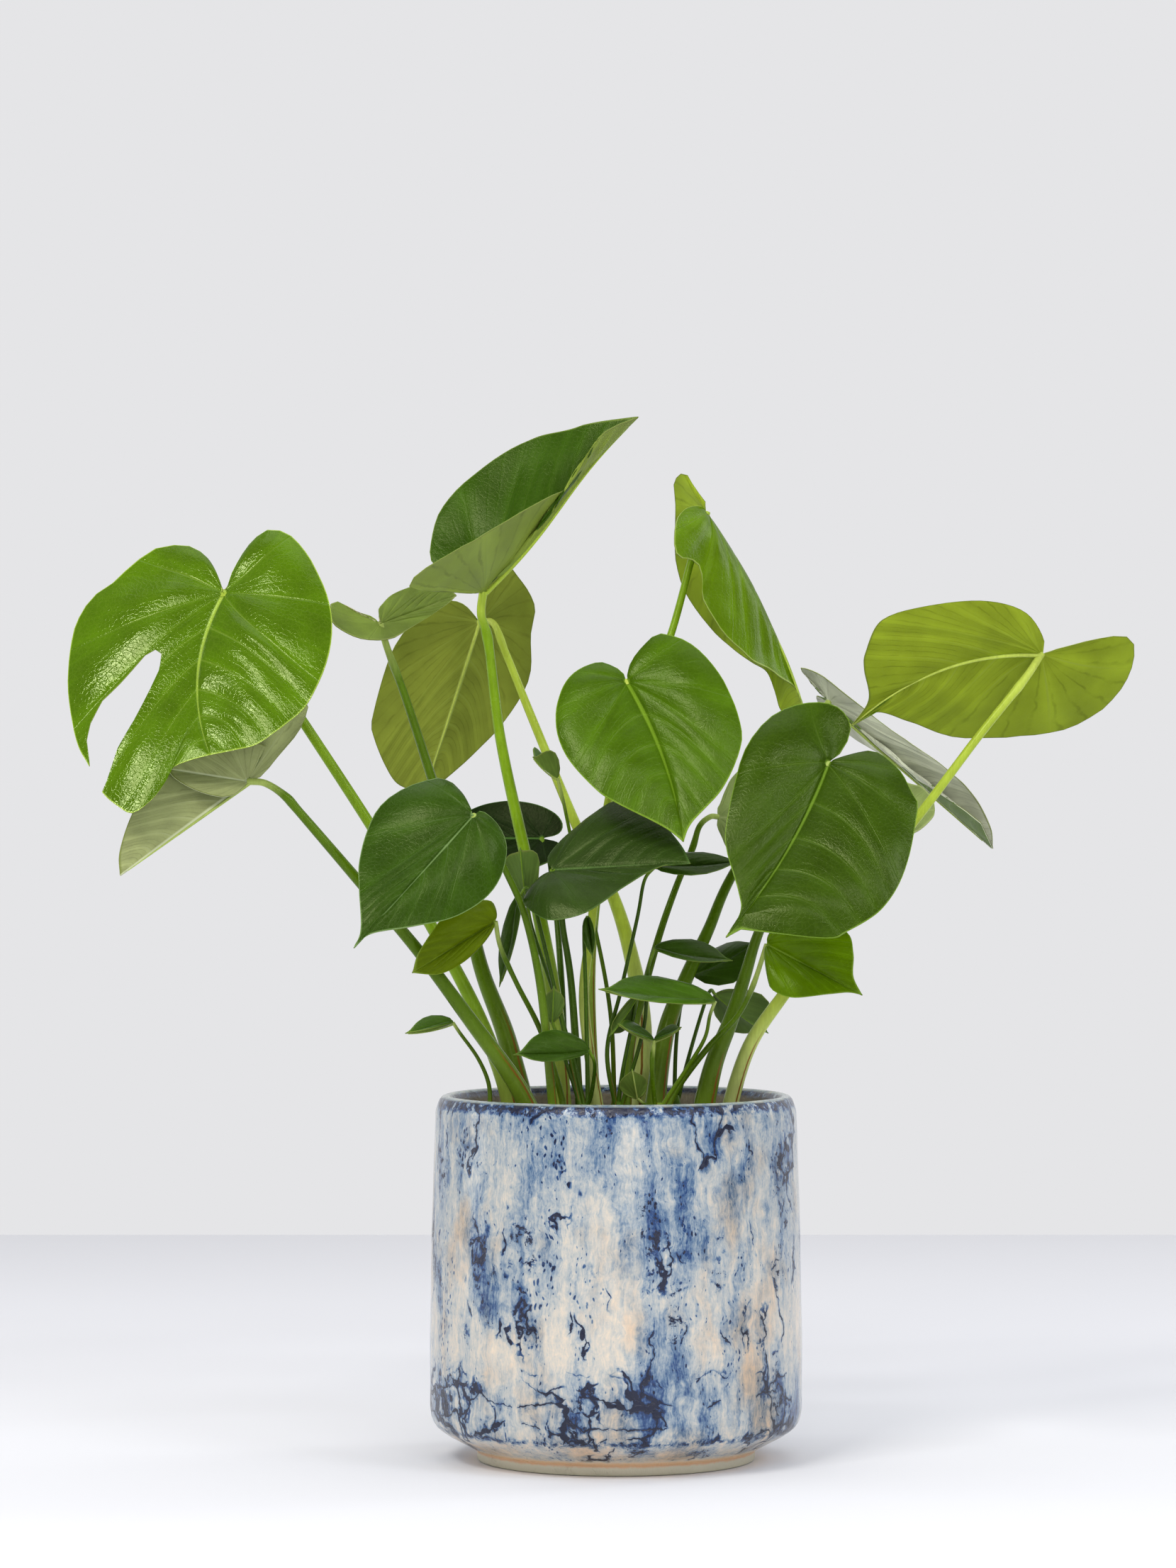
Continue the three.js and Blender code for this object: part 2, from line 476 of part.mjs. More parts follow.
function pot() {
  const profile = [[0, 0], [FOOT_RADIUS, 0], [FOOT_RADIUS, 5.6], [95, 14.6], [101.2, 19.2],
    [104.2, 24.4], [BODY_RADIUS, 32], [BODY_RADIUS, 70], [104, 130], [RIM_RADIUS, 198], [100.4, 203],
    [96.5, RIM_HEIGHT], [93, 204.2], [90.8, 200.5], [INNER_RADIUS, 194], [INNER_RADIUS, 28],
    [80, FLOOR_HEIGHT], [0, FLOOR_HEIGHT]];
  return turned(profile, POT_SIDES);
}

function soil(holes) {
  const inside = INNER_RADIUS - CLEARANCE;
  const profile = [[0, FLOOR_HEIGHT + 0.3], [79.8, FLOOR_HEIGHT + 0.3], [inside, 28.2],
    [inside, SOIL_HEIGHT - 1], [60, SOIL_HEIGHT], [0, SOIL_HEIGHT]];
  let body = turned(profile, POT_SIDES);
  for (const hole of holes) body = body.subtract(hole);
  return body;
}

function notch() {
  const outline = NOTCH.map(([x, z]) => new THREE.Vector2(x, z));
  if (THREE.ShapeUtils.area(outline) < 0) outline.reverse();
  const near = outline.map((p) => sighted([p.x, -160, p.y]));
  const far = outline.map((p) => sighted([p.x, 60, p.y]));
  const n = outline.length;
  const faces = [];
  for (const [a, b, c] of THREE.ShapeUtils.triangulateShape(outline, [])) {
    faces.push(a, b, c, c + n, b + n, a + n);
  }
  for (let i = 0; i < n; i++) {
    const j = (i + 1) % n;
    faces.push(i, i + n, j + n, i, j + n, j);
  }
  return solidOf([...near, ...far].flatMap((p) => [p.x, p.y, p.z]), faces);
}

function largest(solid) {
  return solid.decompose().reduce((a, b) => (b.volume() > a.volume() ? b : a));
}

function footed(leaf) {
  const [x, y] = leaf.stem.at(-1);
  return [leaf.J, ...leaf.stem, [x, y, STALK_FOOT]];
}

function leafSolid(name, leaf) {
  let body = blade(leaf, 4, 6, leaf.columns ?? 2, HEART);
  if (name === "leaf_split") body = largest(body.subtract(notch()));
  if (leaf.fold) body = body.add(blade(leaf.fold, 2, 4, 2, OVAL));
  return body.add(loft(stalkRings(footed(leaf), leaf.r[0], leaf.r[1], 6)));
}

// The hole in the soil that a stalk's foot stands in.
function footHole(leaf) {
  const rings = stalkRings(footed(leaf), leaf.r[0], leaf.r[1], 6, 1.7 * CLEARANCE).slice(-4);
  for (const p of rings.at(-1)) p.z -= CLEARANCE;
  return loft(rings);
}

function crown([x, y, radius], grow) {
  const ring = (z, r) => Array.from({ length: 8 }, (_, k) => new THREE.Vector3(
    x + (r + grow) * Math.cos(k * Math.PI / 4), y + (r + grow) * Math.sin(k * Math.PI / 4), z));
  return loft([ring(STALK_FOOT - grow, radius), ring(196, radius), ring(203, 0.55 * radius)]);
}

function shootSolid(leaflets, foot) {
  let body = crown(foot, 0);
  for (const leaf of leaflets) {
    body = body.add(blade(leaf, 2, 4, 2, OVAL));
    body = body.add(loft(stalkRings([leaf.J, ...leaf.stem, [foot[0], foot[1], 190]], 1.7, 1.0, 4)));
  }
  return body;
}

const GREENS = { leaf_split: "#4f8a12", leaf_low_left: "#4d6b33", leaf_top: "#3c6a22",
  leaf_back_left: "#55722f", leaf_back_big: "#6d8740", leaf_top_right: "#5d8c22", leaf_centre: "#3d7424",
  leaf_right_big: "#356a1f", leaf_far_right: "#6f9430", leaf_behind_right: "#6a7d62",
  leaf_pale_right: "#5f8a2c", leaf_front_left: "#336626", leaf_dark_mid: "#27502a",
  leaf_dark_back: "#25502a", leaf_lower_right: "#3f7a22", leaf_lower_left: "#437a2b" };

const plant = new THREE.Group();
const holes = [];
for (const [name, upright] of LEAVES) {
  const leaf = leaned(upright);
  plant.add(meshOf(name, leafSolid(name, leaf), { color: GREENS[name], roughness: 0.35 }));
  holes.push(footHole(leaf));
}
for (const [name, leaflets, foot] of SHOOTS) {
  plant.add(meshOf(name, shootSolid(leaflets, foot), { color: "#3a6b2c", roughness: 0.4 }));
  holes.push(crown(foot, 1.2 * CLEARANCE));
}
plant.add(meshOf("soil", soil(holes), { color: "#2b2019", roughness: 0.95 }));
plant.add(meshOf("pot", pot(), { color: "#56709a", roughness: 0.16 }));

export default plant;
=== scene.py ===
# A young potted monstera: a bunch of long-stalked heart-shaped leaves, one of them split by a deep
# notch, in soil in a round glazed stoneware pot. It stands on a pale studio floor in a white room.
# Sizes are millimetres until a mesh is made, which is in metres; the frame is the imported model's.
import math

import bmesh
import bpy
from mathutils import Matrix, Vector, noise


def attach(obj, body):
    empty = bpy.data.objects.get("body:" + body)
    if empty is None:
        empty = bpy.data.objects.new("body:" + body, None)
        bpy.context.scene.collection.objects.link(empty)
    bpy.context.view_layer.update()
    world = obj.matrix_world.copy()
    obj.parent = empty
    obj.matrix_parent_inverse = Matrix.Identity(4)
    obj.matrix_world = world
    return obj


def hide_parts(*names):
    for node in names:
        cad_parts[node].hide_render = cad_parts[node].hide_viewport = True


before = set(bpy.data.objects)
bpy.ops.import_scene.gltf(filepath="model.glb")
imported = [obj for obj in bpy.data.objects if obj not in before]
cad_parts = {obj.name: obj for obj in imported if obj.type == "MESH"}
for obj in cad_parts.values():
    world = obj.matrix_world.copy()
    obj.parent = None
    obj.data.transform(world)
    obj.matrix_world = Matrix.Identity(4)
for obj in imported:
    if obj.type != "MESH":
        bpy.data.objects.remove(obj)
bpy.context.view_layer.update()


# ---------------------------------------------------------------------------------------------------
# Pot. Stoneware thrown on a wheel: an almost straight body on a chamfered foot with a rounded rim.
# A runny blue glaze over a cream one covers the outside and the lip, the foot ring has a thin dry one,
# and the inside is bare clay. It stands on its foot ring, and everything else stands in it.

INNER_RADIUS = 90
PLAIN_RADIUS = 80
POT_SIDES = 256
POT_STEP = 5.0
THROWING_WAVE = 0.22

# Radius and height, from the middle of the recessed base, out and up the wall, and down the inside.
POT_PROFILE = [(0, 2.6), (40, 2.6), (60, 2.4), (63, 1.4), (65, 0.3), (66.5, 0), (76.4, 0), (77.8, 0.5),
               (78.3, 1.6), (78.3, 5.0), (79.0, 6.0), (86, 9.9), (95, 14.6), (99.2, 17.4), (101.4, 19.4),
               (103.2, 22.0), (104.3, 25.2), (104.9, 29), (105, 33), (105, 50), (105, 70), (104.7, 90),
               (104.3, 110), (104, 130), (103.4, 150), (102.7, 170), (102.1, 188), (101.9, 195.5),
               (101.6, 197.4), (100.3, 201.2), (99.4, 203.2), (98, 204.8), (96, 205.4), (94.2, 205),
               (92.6, 203.7), (91.2, 201.6), (90.5, 199), (90.1, 195), (INNER_RADIUS, 190),
               (INNER_RADIUS, 150), (INNER_RADIUS, 90), (INNER_RADIUS, 28), (87, 22), (80, 18), (40, 18),
               (0, 18)]


def colour(code):
    """The linear colour of an sRGB hex value."""
    parts = [int(code[i:i + 2], 16) / 255 for i in (1, 3, 5)]
    return tuple(c / 12.92 if c <= 0.04045 else ((c + 0.055) / 1.055) ** 2.4 for c in parts) + (1.0,)


def add(tree, kind, inputs=None, stops=None, **settings):
    """Adds a shader node. Each input is a value, a node (its first output) or (node, output). A socket
    is named, or counted: in MapRange 1 and 2 are the range that comes in, 3 and 4 the one that goes
    out, and in Mix 0 is the share, 6 the first and 7 the second colour."""
    node = tree.nodes.new("ShaderNode" + kind)
    for name, value in settings.items():
        setattr(node, name, value)
    for socket, value in (inputs or {}).items():
        source = value if isinstance(value, tuple) else (value, 0)
        if isinstance(source[0], bpy.types.Node):
            tree.links.new(source[0].outputs[source[1]], node.inputs[socket])
        else:
            node.inputs[socket].default_value = value
    if stops:
        ramp = node.color_ramp.elements
        while len(ramp) < len(stops):
            ramp.new(0.5)
        for element, (position, code) in zip(ramp, stops):
            element.position = position
            element.color = colour(code)
    return node


def new_material(name):
    """An empty node material and its tree."""
    material = bpy.data.materials.new(name)
    material.use_nodes = True
    material.node_tree.nodes.clear()
    return material, material.node_tree


def new_piece(name, points, faces, materials, smooth=60):
    """A mesh object in metres from points in millimetres, its sharp edges kept sharp."""
    mesh = bpy.data.meshes.new(name)
    mesh.from_pydata([tuple(0.001 * c for c in p) for p in points], [], faces)
    mesh.validate()
    for polygon in mesh.polygons:
        polygon.use_smooth = True
    mesh.set_sharp_from_angle(angle=math.radians(smooth))
    for material in materials:
        mesh.materials.append(material)
    piece = bpy.data.objects.new(name, mesh)
    bpy.context.scene.collection.objects.link(piece)
    return piece


def turned(profile, sides, wobble):
    """A lathe form from a profile; wobble gives how far a point stands off its radius."""
    points, faces, rings = [], [], []
    for radius, height in profile:
        start = len(points)
        if radius < 0.01:
            points.append((0, 0, height))
            rings.append([start] * sides)
            continue
        for k in range(sides):
            angle = 2 * math.pi * k / sides
            r = radius + wobble(radius, height, angle)
            points.append((r * math.cos(angle), r * math.sin(angle), height))
        rings.append(list(range(start, start + sides)))
    for low, high in zip(rings, rings[1:]):
        for k in range(sides):
            face = [low[k], low[(k + 1) % sides], high[(k + 1) % sides], high[k]]
            face = list(dict.fromkeys(face))
            if len(face) > 2:
                faces.append(face)
    return points, faces


def closer(profile, step):
    """The same profile with a point at least every step."""
    out = [profile[0]]
    for (r0, z0), (r1, z1) in zip(profile, profile[1:]):
        n = max(1, math.ceil(math.hypot(r1 - r0, z1 - z0) / step))
        out += [(r0 + (r1 - r0) * i / n, z0 + (z1 - z0) * i / n) for i in range(1, n + 1)]
    return out


def thrown(radius, height, angle):
    """The slight waves that the potter's fingers and the firing leave in the wall, not in the base."""
    if radius < PLAIN_RADIUS:
        return 0.0
    spot = Vector((math.cos(angle) * 2.2, math.sin(angle) * 2.2, height / 26))
    return THROWING_WAVE * noise.noise(spot) - 0.1


def blue_over_cream_glaze():
    """Runny reactive glaze: the eye sees soft vertical runs of cobalt over cream, fine upright threads
    and specks, navy cracks and blisters, and a deep gloss; the foot has a bare peach line, and the
    inside is bare clay."""
    material, tree = new_material("reactive glazed stoneware")
    at = add(tree, "TexCoord")
    place = add(tree, "VectorMath", {0: (at, "Object"), "Scale": 1000.0}, operation="SCALE")
    axes = add(tree, "SeparateXYZ", {0: place})
    height = (axes, 2)
    # Slow wandering over 16 mm keeps runs and cracks from being straight.
    wander = add(tree, "TexNoise", {"Vector": place, "Scale": 1 / 16, "Detail": 3.0})
    drift = add(tree, "VectorMath", {0: (wander, "Color"), 1: (0.5, 0.5, 0.5)}, operation="SUBTRACT")
    near, far = (add(tree, "VectorMath", {0: drift, 1: (way, way, way), 2: place},
                     operation="MULTIPLY_ADD") for way in (9.0, 24.0))
    # Veils 38 mm wide, runs 13 mm, threads 3 mm and a grain of 0.8 mm, all drawn out downwards.
    veil, fall, thread = (add(tree, "VectorMath", {0: near, 1: (1.0, 1.0, drawn)},
                              operation="MULTIPLY") for drawn in (0.50, 0.20, 0.08))
    veils = add(tree, "TexNoise", {"Vector": veil, "Scale": 1 / 38, "Detail": 2.0})
    runs = add(tree, "TexNoise", {"Vector": fall, "Scale": 1 / 13, "Detail": 4.0})
    threads = add(tree, "TexNoise", {"Vector": thread, "Scale": 1 / 3, "Detail": 5.0,
                                     "Roughness": 0.65})
    grains = add(tree, "TexNoise", {"Vector": fall, "Scale": 1 / 0.8, "Detail": 2.0})
    mottle = add(tree, "TexNoise", {"Vector": near, "Scale": 1 / 5, "Detail": 8.0, "Roughness": 0.7})
    level = add(tree, "ValToRGB", {0: add(tree, "MapRange", {0: height, 1: 0.0, 2: 206.0})},
                stops=[(0.0, "#5a5a5a"), (0.09, "#6a6a6a"), (0.15, "#9a9a9a"), (0.24, "#8c8c8c"),
                       (0.33, "#6a6a6a"), (0.50, "#747474"), (0.78, "#989898"), (1.0, "#a4a4a4")])
    # The blue lies in soft patches; runs, threads, grain and mottle break up patches and ground.
    patch = add(tree, "Math", {0: runs, 1: 0.45, 2: veils}, operation="MULTIPLY_ADD")
    wash = add(tree, "MapRange", {0: patch, 1: 0.70, 2: 0.94, 3: 0.0, 4: 0.26},
               interpolation_type="SMOOTHSTEP")
    depth = add(tree, "Math", {0: level, 1: 0.8, 2: -0.80}, operation="MULTIPLY_ADD")
    for part, weight in ((runs, 0.55), (threads, 0.60), (grains, 0.34), (mottle, 0.55)):
        depth = add(tree, "Math", {0: part, 1: weight, 2: depth}, operation="MULTIPLY_ADD")
    base = add(tree, "Math", {0: wash, 1: depth}, operation="ADD")
    # Cracks: upright ones between long cells 20 mm wide, level ones low on the body, and blisters some
    # 12 mm across, each in a darker pool.
    ragged = add(tree, "Math", {0: mottle, 1: 0.14, 2: -0.055}, operation="MULTIPLY_ADD")
    where = add(tree, "TexNoise", {"Vector": veil, "Scale": 1 / 24, "Detail": 2.0, "W": 4.0},
                noise_dimensions="4D")
    tall = add(tree, "VectorMath", {0: far, 1: (1.0, 1.0, 0.36)}, operation="MULTIPLY")
    cells = add(tree, "TexVoronoi", {"Vector": tall, "Scale": 1 / 20}, feature="DISTANCE_TO_EDGE")
    edge = add(tree, "Math", {0: (cells, "Distance"), 1: ragged}, operation="SUBTRACT")
    line = add(tree, "MapRange", {0: edge, 1: 0.0, 2: 0.016, 3: 1.0, 4: 0.0})
    halo = add(tree, "MapRange", {0: edge, 1: 0.0, 2: 0.13, 3: 0.22, 4: 0.0},
               interpolation_type="SMOOTHSTEP")
    here = add(tree, "MapRange", {0: where, 1: 0.52, 2: 0.58})
    upright = add(tree, "Math", {0: line, 1: here}, operation="MULTIPLY")
    wide = add(tree, "VectorMath", {0: far, 1: (0.36, 0.36, 1.0)}, operation="MULTIPLY")
    plates = add(tree, "TexVoronoi", {"Vector": wide, "Scale": 1 / 15}, feature="DISTANCE_TO_EDGE")
    seam = add(tree, "Math", {0: (plates, "Distance"), 1: ragged}, operation="SUBTRACT")
    level_line = add(tree, "MapRange", {0: seam, 1: 0.0, 2: 0.022, 3: 1.0, 4: 0.0})
    level_halo = add(tree, "MapRange", {0: seam, 1: 0.0, 2: 0.16, 3: 0.20, 4: 0.0},
                     interpolation_type="SMOOTHSTEP")
    low = add(tree, "ValToRGB", {0: add(tree, "MapRange", {0: height, 1: 18.0, 2: 62.0})},
              stops=[(0.0, "#000000"), (0.15, "#ffffff"), (0.70, "#ffffff"), (1.0, "#000000")])
    there = add(tree, "MapRange", {0: where, 1: 0.46, 2: 0.50})
    lying = add(tree, "Math", {0: level_line, 1: low}, operation="MULTIPLY")
    level_cracks = add(tree, "Math", {0: lying, 1: there}, operation="MULTIPLY")
    spots = add(tree, "TexVoronoi", {"Vector": tall, "Scale": 1 / 30, "Randomness": 1.0})
    pool = add(tree, "MapRange", {0: (spots, "Distance"), 1: 0.46, 2: 0.08, 3: 0.0, 4: 0.22})
    blister = add(tree, "MapRange", {0: (spots, "Distance"), 1: 0.26, 2: 0.16})
    crust = add(tree, "MapRange", {0: mottle, 1: 0.54, 2: 0.60})
    blisters = add(tree, "Math", {0: blister, 1: crust}, operation="MULTIPLY")
    upright_halo = add(tree, "Math", {0: halo, 1: here}, operation="MULTIPLY")
    low_halo = add(tree, "Math", {0: level_halo, 1: low}, operation="MULTIPLY")
    halos = add(tree, "Math", {0: low_halo, 1: there, 2: upright_halo}, operation="MULTIPLY_ADD")
    lines = add(tree, "Math", {0: upright, 1: level_cracks}, operation="MAXIMUM")
    cracks = add(tree, "Math", {0: lines, 1: blisters}, operation="MAXIMUM")
    # Specks 0.6 mm wide and twice as tall, thrown on in drifts.
    thin = add(tree, "VectorMath", {0: near, 1: (1.0, 1.0, 0.45)}, operation="MULTIPLY")
    dots = add(tree, "TexVoronoi", {"Vector": thin, "Scale": 1 / 2.3, "Randomness": 1.0})
    size = add(tree, "Math", {0: runs, 1: 1.5, 2: -0.60}, operation="MULTIPLY_ADD")
    dot = add(tree, "Math", {0: size, 1: (dots, "Distance")}, operation="SUBTRACT")
    specks = add(tree, "MapRange", {0: dot, 1: 0.0, 2: 0.12})
    # Dark broken bands where the glaze breaks under the rim and at the body's lower edge.
    rim = add(tree, "ValToRGB", {0: add(tree, "MapRange", {0: height, 1: 185.0, 2: 206.0})},
              stops=[(0.0, "#000000"), (0.62, "#202020"), (0.78, "#ffffff"), (0.91, "#ffffff"),
                     (0.96, "#000000")])
    foot = add(tree, "ValToRGB", {0: add(tree, "MapRange", {0: height, 1: 14.0, 2: 32.0})},
               stops=[(0.0, "#000000"), (0.20, "#505050"), (0.34, "#f0f0f0"), (0.50, "#505050"),
                      (1.0, "#000000")])
    bands = add(tree, "Math", {0: rim, 1: foot}, operation="ADD")
    broken = add(tree, "MapRange", {0: mottle, 1: 0.38, 2: 0.58})
    band = add(tree, "Math", {0: bands, 1: broken}, operation="MULTIPLY")
    haloed = add(tree, "Math", {0: base, 1: halos}, operation="ADD")
    dark = add(tree, "Math", {0: haloed, 1: pool}, operation="ADD")
    for part, weight in ((band, 0.62), (cracks, 0.75), (specks, 0.36)):
        dark = add(tree, "Math", {0: part, 1: weight, 2: dark}, operation="MULTIPLY_ADD")
    blue = add(tree, "ValToRGB", {0: dark},
               stops=[(0.0, "#ecd9c1"), (0.18, "#dccfbd"), (0.34, "#c6c3bb"), (0.46, "#adb3b5"),
                      (0.58, "#8d9caa"), (0.70, "#5b7694"), (0.82, "#204377"), (1.0, "#061231")])
    # Warm patches where the cream runs thin and the clay shows through.
    warm = add(tree, "TexNoise", {"Vector": veil, "Scale": 1 / 30, "Detail": 4.0, "W": 9.0},
               noise_dimensions="4D")
    worn = add(tree, "MapRange", {0: warm, 1: 0.50, 2: 0.66, 4: 0.8})
    glazed = add(tree, "Mix", {0: worn, 6: (blue, 0), 7: colour("#f2d3b6")}, data_type="RGBA",
                 blend_type="MULTIPLY")
    # The foot ring has a thin, dry, green-grey glaze; a bare peach line parts it from the chamfer.
    uneven = add(tree, "Math", {0: mottle, 1: 3.0, 2: height}, operation="MULTIPLY_ADD")
    ring = add(tree, "ValToRGB", {0: add(tree, "MapRange", {0: uneven, 1: 0.0, 2: 16.0})},
               stops=[(0.0, "#c9b89e"), (0.13, "#c9c6ae"), (0.36, "#dad5c0"), (0.46, "#e3b285"),
                      (0.56, "#e8c29b"), (0.66, "#dcd1bf")])
    ringed = add(tree, "MapRange", {0: uneven, 1: 11.4, 2: 9.6})
    body = add(tree, "Mix", {0: ringed, 6: (glazed, 2), 7: (ring, 0)}, data_type="RGBA")
    # The lip is pale and grey-green where the glaze has run off it. Inside the wall is bare clay.
    across = add(tree, "CombineXYZ", {0: (axes, 0), 1: (axes, 1)})
    radius = add(tree, "VectorMath", {0: across}, operation="LENGTH")
    narrow = add(tree, "MapRange", {0: (radius, "Value"), 1: INNER_RADIUS + 1.4,
                                    2: INNER_RADIUS + 0.6})
    raised = add(tree, "MapRange", {0: height, 1: 14.8, 2: 15.2})
    inner = add(tree, "Math", {0: narrow, 1: raised}, operation="MULTIPLY")
    clay = add(tree, "ValToRGB", {0: mottle}, stops=[(0.3, "#6f6556"), (0.5, "#8a7f6d"),
                                                     (0.7, "#9d927f")])
    lip = add(tree, "MapRange", {0: height, 1: 203.8, 2: 205.0})
    thin_glaze = add(tree, "ValToRGB", {0: mottle}, stops=[(0.36, "#5f7484"), (0.5, "#9aa8a8"),
                                                           (0.66, "#c2c2b2")])
    lipped = add(tree, "Mix", {0: lip, 6: (body, 2), 7: (thin_glaze, 0)}, data_type="RGBA")
    skin = add(tree, "Mix", {0: inner, 6: (lipped, 2), 7: (clay, 0)}, data_type="RGBA")
    dry = add(tree, "MapRange", {0: uneven, 1: 9.0, 2: 6.0, 4: 0.75})
    matt = add(tree, "Math", {0: inner, 1: dry}, operation="MAXIMUM")
    smooth = add(tree, "MapRange", {0: matt, 3: 0.09, 4: 0.8})
    rough = add(tree, "Math", {0: cracks, 1: 0.15, 2: smooth}, operation="MULTIPLY_ADD")
    # The surface: gentle waves of 9 mm, the grain, and cracks some 0.3 mm deep.
    soft = add(tree, "TexNoise", {"Vector": place, "Scale": 1 / 9, "Detail": 3.0})
    relief_height = soft
    for part, weight in ((cracks, -0.5), (specks, -0.2)):
        relief_height = add(tree, "Math", {0: part, 1: weight, 2: relief_height},
                            operation="MULTIPLY_ADD")
    crusty = add(tree, "Math", {0: band, 1: mottle}, operation="MULTIPLY")
    for part, weight in ((crusty, 0.4), (grains, 0.22)):
        relief_height = add(tree, "Math", {0: part, 1: weight, 2: relief_height},
                            operation="MULTIPLY_ADD")
    bump = add(tree, "Bump", {"Strength": 0.6, "Distance": 0.0008, "Height": relief_height})
    shader = add(tree, "BsdfPrincipled", {"Base Color": (skin, 2), "Roughness": rough, "IOR": 1.52,
                                          "Normal": bump})
    add(tree, "OutputMaterial", {"Surface": shader})
    return material


pot_points, pot_faces = turned(closer(POT_PROFILE, POT_STEP), POT_SIDES, thrown)
pot = new_piece("glazed_pot", pot_points, pot_faces, [blue_over_cream_glaze()], smooth=40)
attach(pot, "root")
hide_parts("pot")


# ---------------------------------------------------------------------------------------------------
# Soil. Dark potting mix of peat, bark crumbs and a little grit, filled into the pot to just below its
# rim and pressed on. Its surface is a low heap of crumbs that the stalks stand in.

SOIL_HEIGHT = 191.5
SOIL_RADIUS = INNER_RADIUS - 0.4
SOIL_UNDERSIDE = 18.4
SOIL_CHAMFER = 9.9
SOIL_RINGS = 70
SOIL_SIDES = 200
CRUMB_HEIGHT = 2.4


def crumbly(x, y):
    """How far the surface stands off the soil's height: crumbs of 2 to 11 mm, sunk a little."""
    rough = noise.noise(Vector((x, y, 5)) / 11) + 0.6 * noise.noise(Vector((x, y, 9)) / 4.5)
    fine = 0.35 * noise.noise(Vector((x, y, 2)) / 1.9)
    return CRUMB_HEIGHT * (0.5 * rough + 0.5 * fine) - 1.6


def potting_mix():
    """Peat and bark potting mix: near-black brown, matt, with lighter crumbs of bark and grit."""
    material, tree = new_material("loose peat potting mix")
    at = add(tree, "TexCoord")
    place = add(tree, "VectorMath", {0: (at, "Object"), "Scale": 1000.0}, operation="SCALE")
    crumbs = add(tree, "TexVoronoi", {"Vector": place, "Scale": 1 / 3.4})
    shade = add(tree, "SeparateXYZ", {0: (crumbs, "Color")})
    earth = add(tree, "ValToRGB", {0: shade}, stops=[(0.0, "#17110c"), (0.55, "#2c2118"),
                                                      (0.86, "#4a3827"), (1.0, "#7d6a50")])
    damp = add(tree, "TexNoise", {"Vector": place, "Scale": 1 / 14, "Detail": 4.0})
    wet = add(tree, "Mix", {0: damp, 6: (earth, 0), 7: colour("#2a1f17")}, data_type="RGBA",
              blend_type="MULTIPLY")
    mixed = add(tree, "Mix", {0: 0.35, 6: (earth, 0), 7: (wet, 2)}, data_type="RGBA")
    grain = add(tree, "TexNoise", {"Vector": place, "Scale": 1 / 1.2, "Detail": 5.0})
    heap = add(tree, "Math", {0: (crumbs, "Distance"), 1: -1.0, 2: grain}, operation="MULTIPLY_ADD")
    bump = add(tree, "Bump", {"Strength": 0.9, "Distance": 0.002, "Height": heap})
    rough = add(tree, "MapRange", {0: grain, 3: 0.8, 4: 1.0})
    shader = add(tree, "BsdfPrincipled", {"Base Color": (mixed, 2), "Roughness": rough,
                                          "Normal": bump})
    add(tree, "OutputMaterial", {"Surface": shader})
    return material


soil_profile = [(0, SOIL_UNDERSIDE), (SOIL_RADIUS - SOIL_CHAMFER, SOIL_UNDERSIDE),
                (SOIL_RADIUS, SOIL_UNDERSIDE + SOIL_CHAMFER), (SOIL_RADIUS, 100),
                (SOIL_RADIUS, SOIL_HEIGHT - 3)]
soil_profile += [(SOIL_RADIUS * (1 - i / SOIL_RINGS), SOIL_HEIGHT) for i in range(SOIL_RINGS + 1)]
soil_points, soil_faces = turned(soil_profile, SOIL_SIDES, lambda *_: 0.0)
soil_points = [(x, y, z + crumbly(x, y)) if z > SOIL_HEIGHT - 1 else (x, y, z)
               for x, y, z in soil_points]
soil = new_piece("potting_soil", soil_points, soil_faces, [potting_mix()])
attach(soil, "root")
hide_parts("soil")


# ---------------------------------------------------------------------------------------------------
# Blades. Leaves of a young monstera: leathery hearts with a sunken pale midrib, side veins that curve
# to the rim, and tissue swelling a little between them; glossy above, paler and satin below. Each grew
# in one piece with its stalk and hangs from the end of it.

# Points are given as they are sighted from the front, from EYE, where the camera stands: x and z where
# the line of sight crosses the plane y = 0, and y, how far behind that plane the point lies.
EYE = Vector((-15.8, -2940, 380.6))

# WIDEST and FAN are shares of the midrib: where the widest points stand, and how far up the rim the
# LOBE_VEINS of a half reach, which fan out from the stalk's end. Points crowd towards the midrib and
# the tip. A blade longer than LONG_BLADE has six more side veins in each half, another has five. The
# heights are those of a blade of 100 mm or more, and a shorter one has them in proportion.
BLADE_THICKNESS = 0.7
LONG_BLADE = 75
WIDEST = 0.25
FAN = 0.60
LOBE_VEINS = 3
VEIN_BOW = 0.06
CROWDING = 1.3
QUILT = 0.35
SPLIT_QUILT = 0.8
VEIN_DEPTH = 0.3
MIDRIB_DEPTH = 0.9
WAVE_HEIGHT = 3.0
WAVE_LENGTH = 38
RIPPLE_HEIGHT = 0.7
RIPPLE_LENGTH = 13
CUT_MARGIN = 5.5

# Half outline of a plain blade: s along the midrib from the stalk (0) to the tip (1), v across it.
HEART = [(-0.07, 0.03), (-0.17, 0.16), (-0.20, 0.40), (-0.14, 0.68), (0.02, 0.91), (0.25, 1.0),
         (0.48, 0.90), (0.68, 0.66), (0.83, 0.36), (0.92, 0.13), (0.965, 0.045), (1.0, 0.0)]

# The deep notch of the split leaf, sighted.
NOTCH = [(-297, 391), (-298.5, 405), (-296.5, 415), (-290, 428), (-280, 438), (-266, 453.5),
         (-260, 456.5), (-256.5, 454), (-258, 445), (-263, 434), (-272, 416), (-281, 400), (-287, 383),
         (-290, 376), (-296, 366), (-304, 380)]

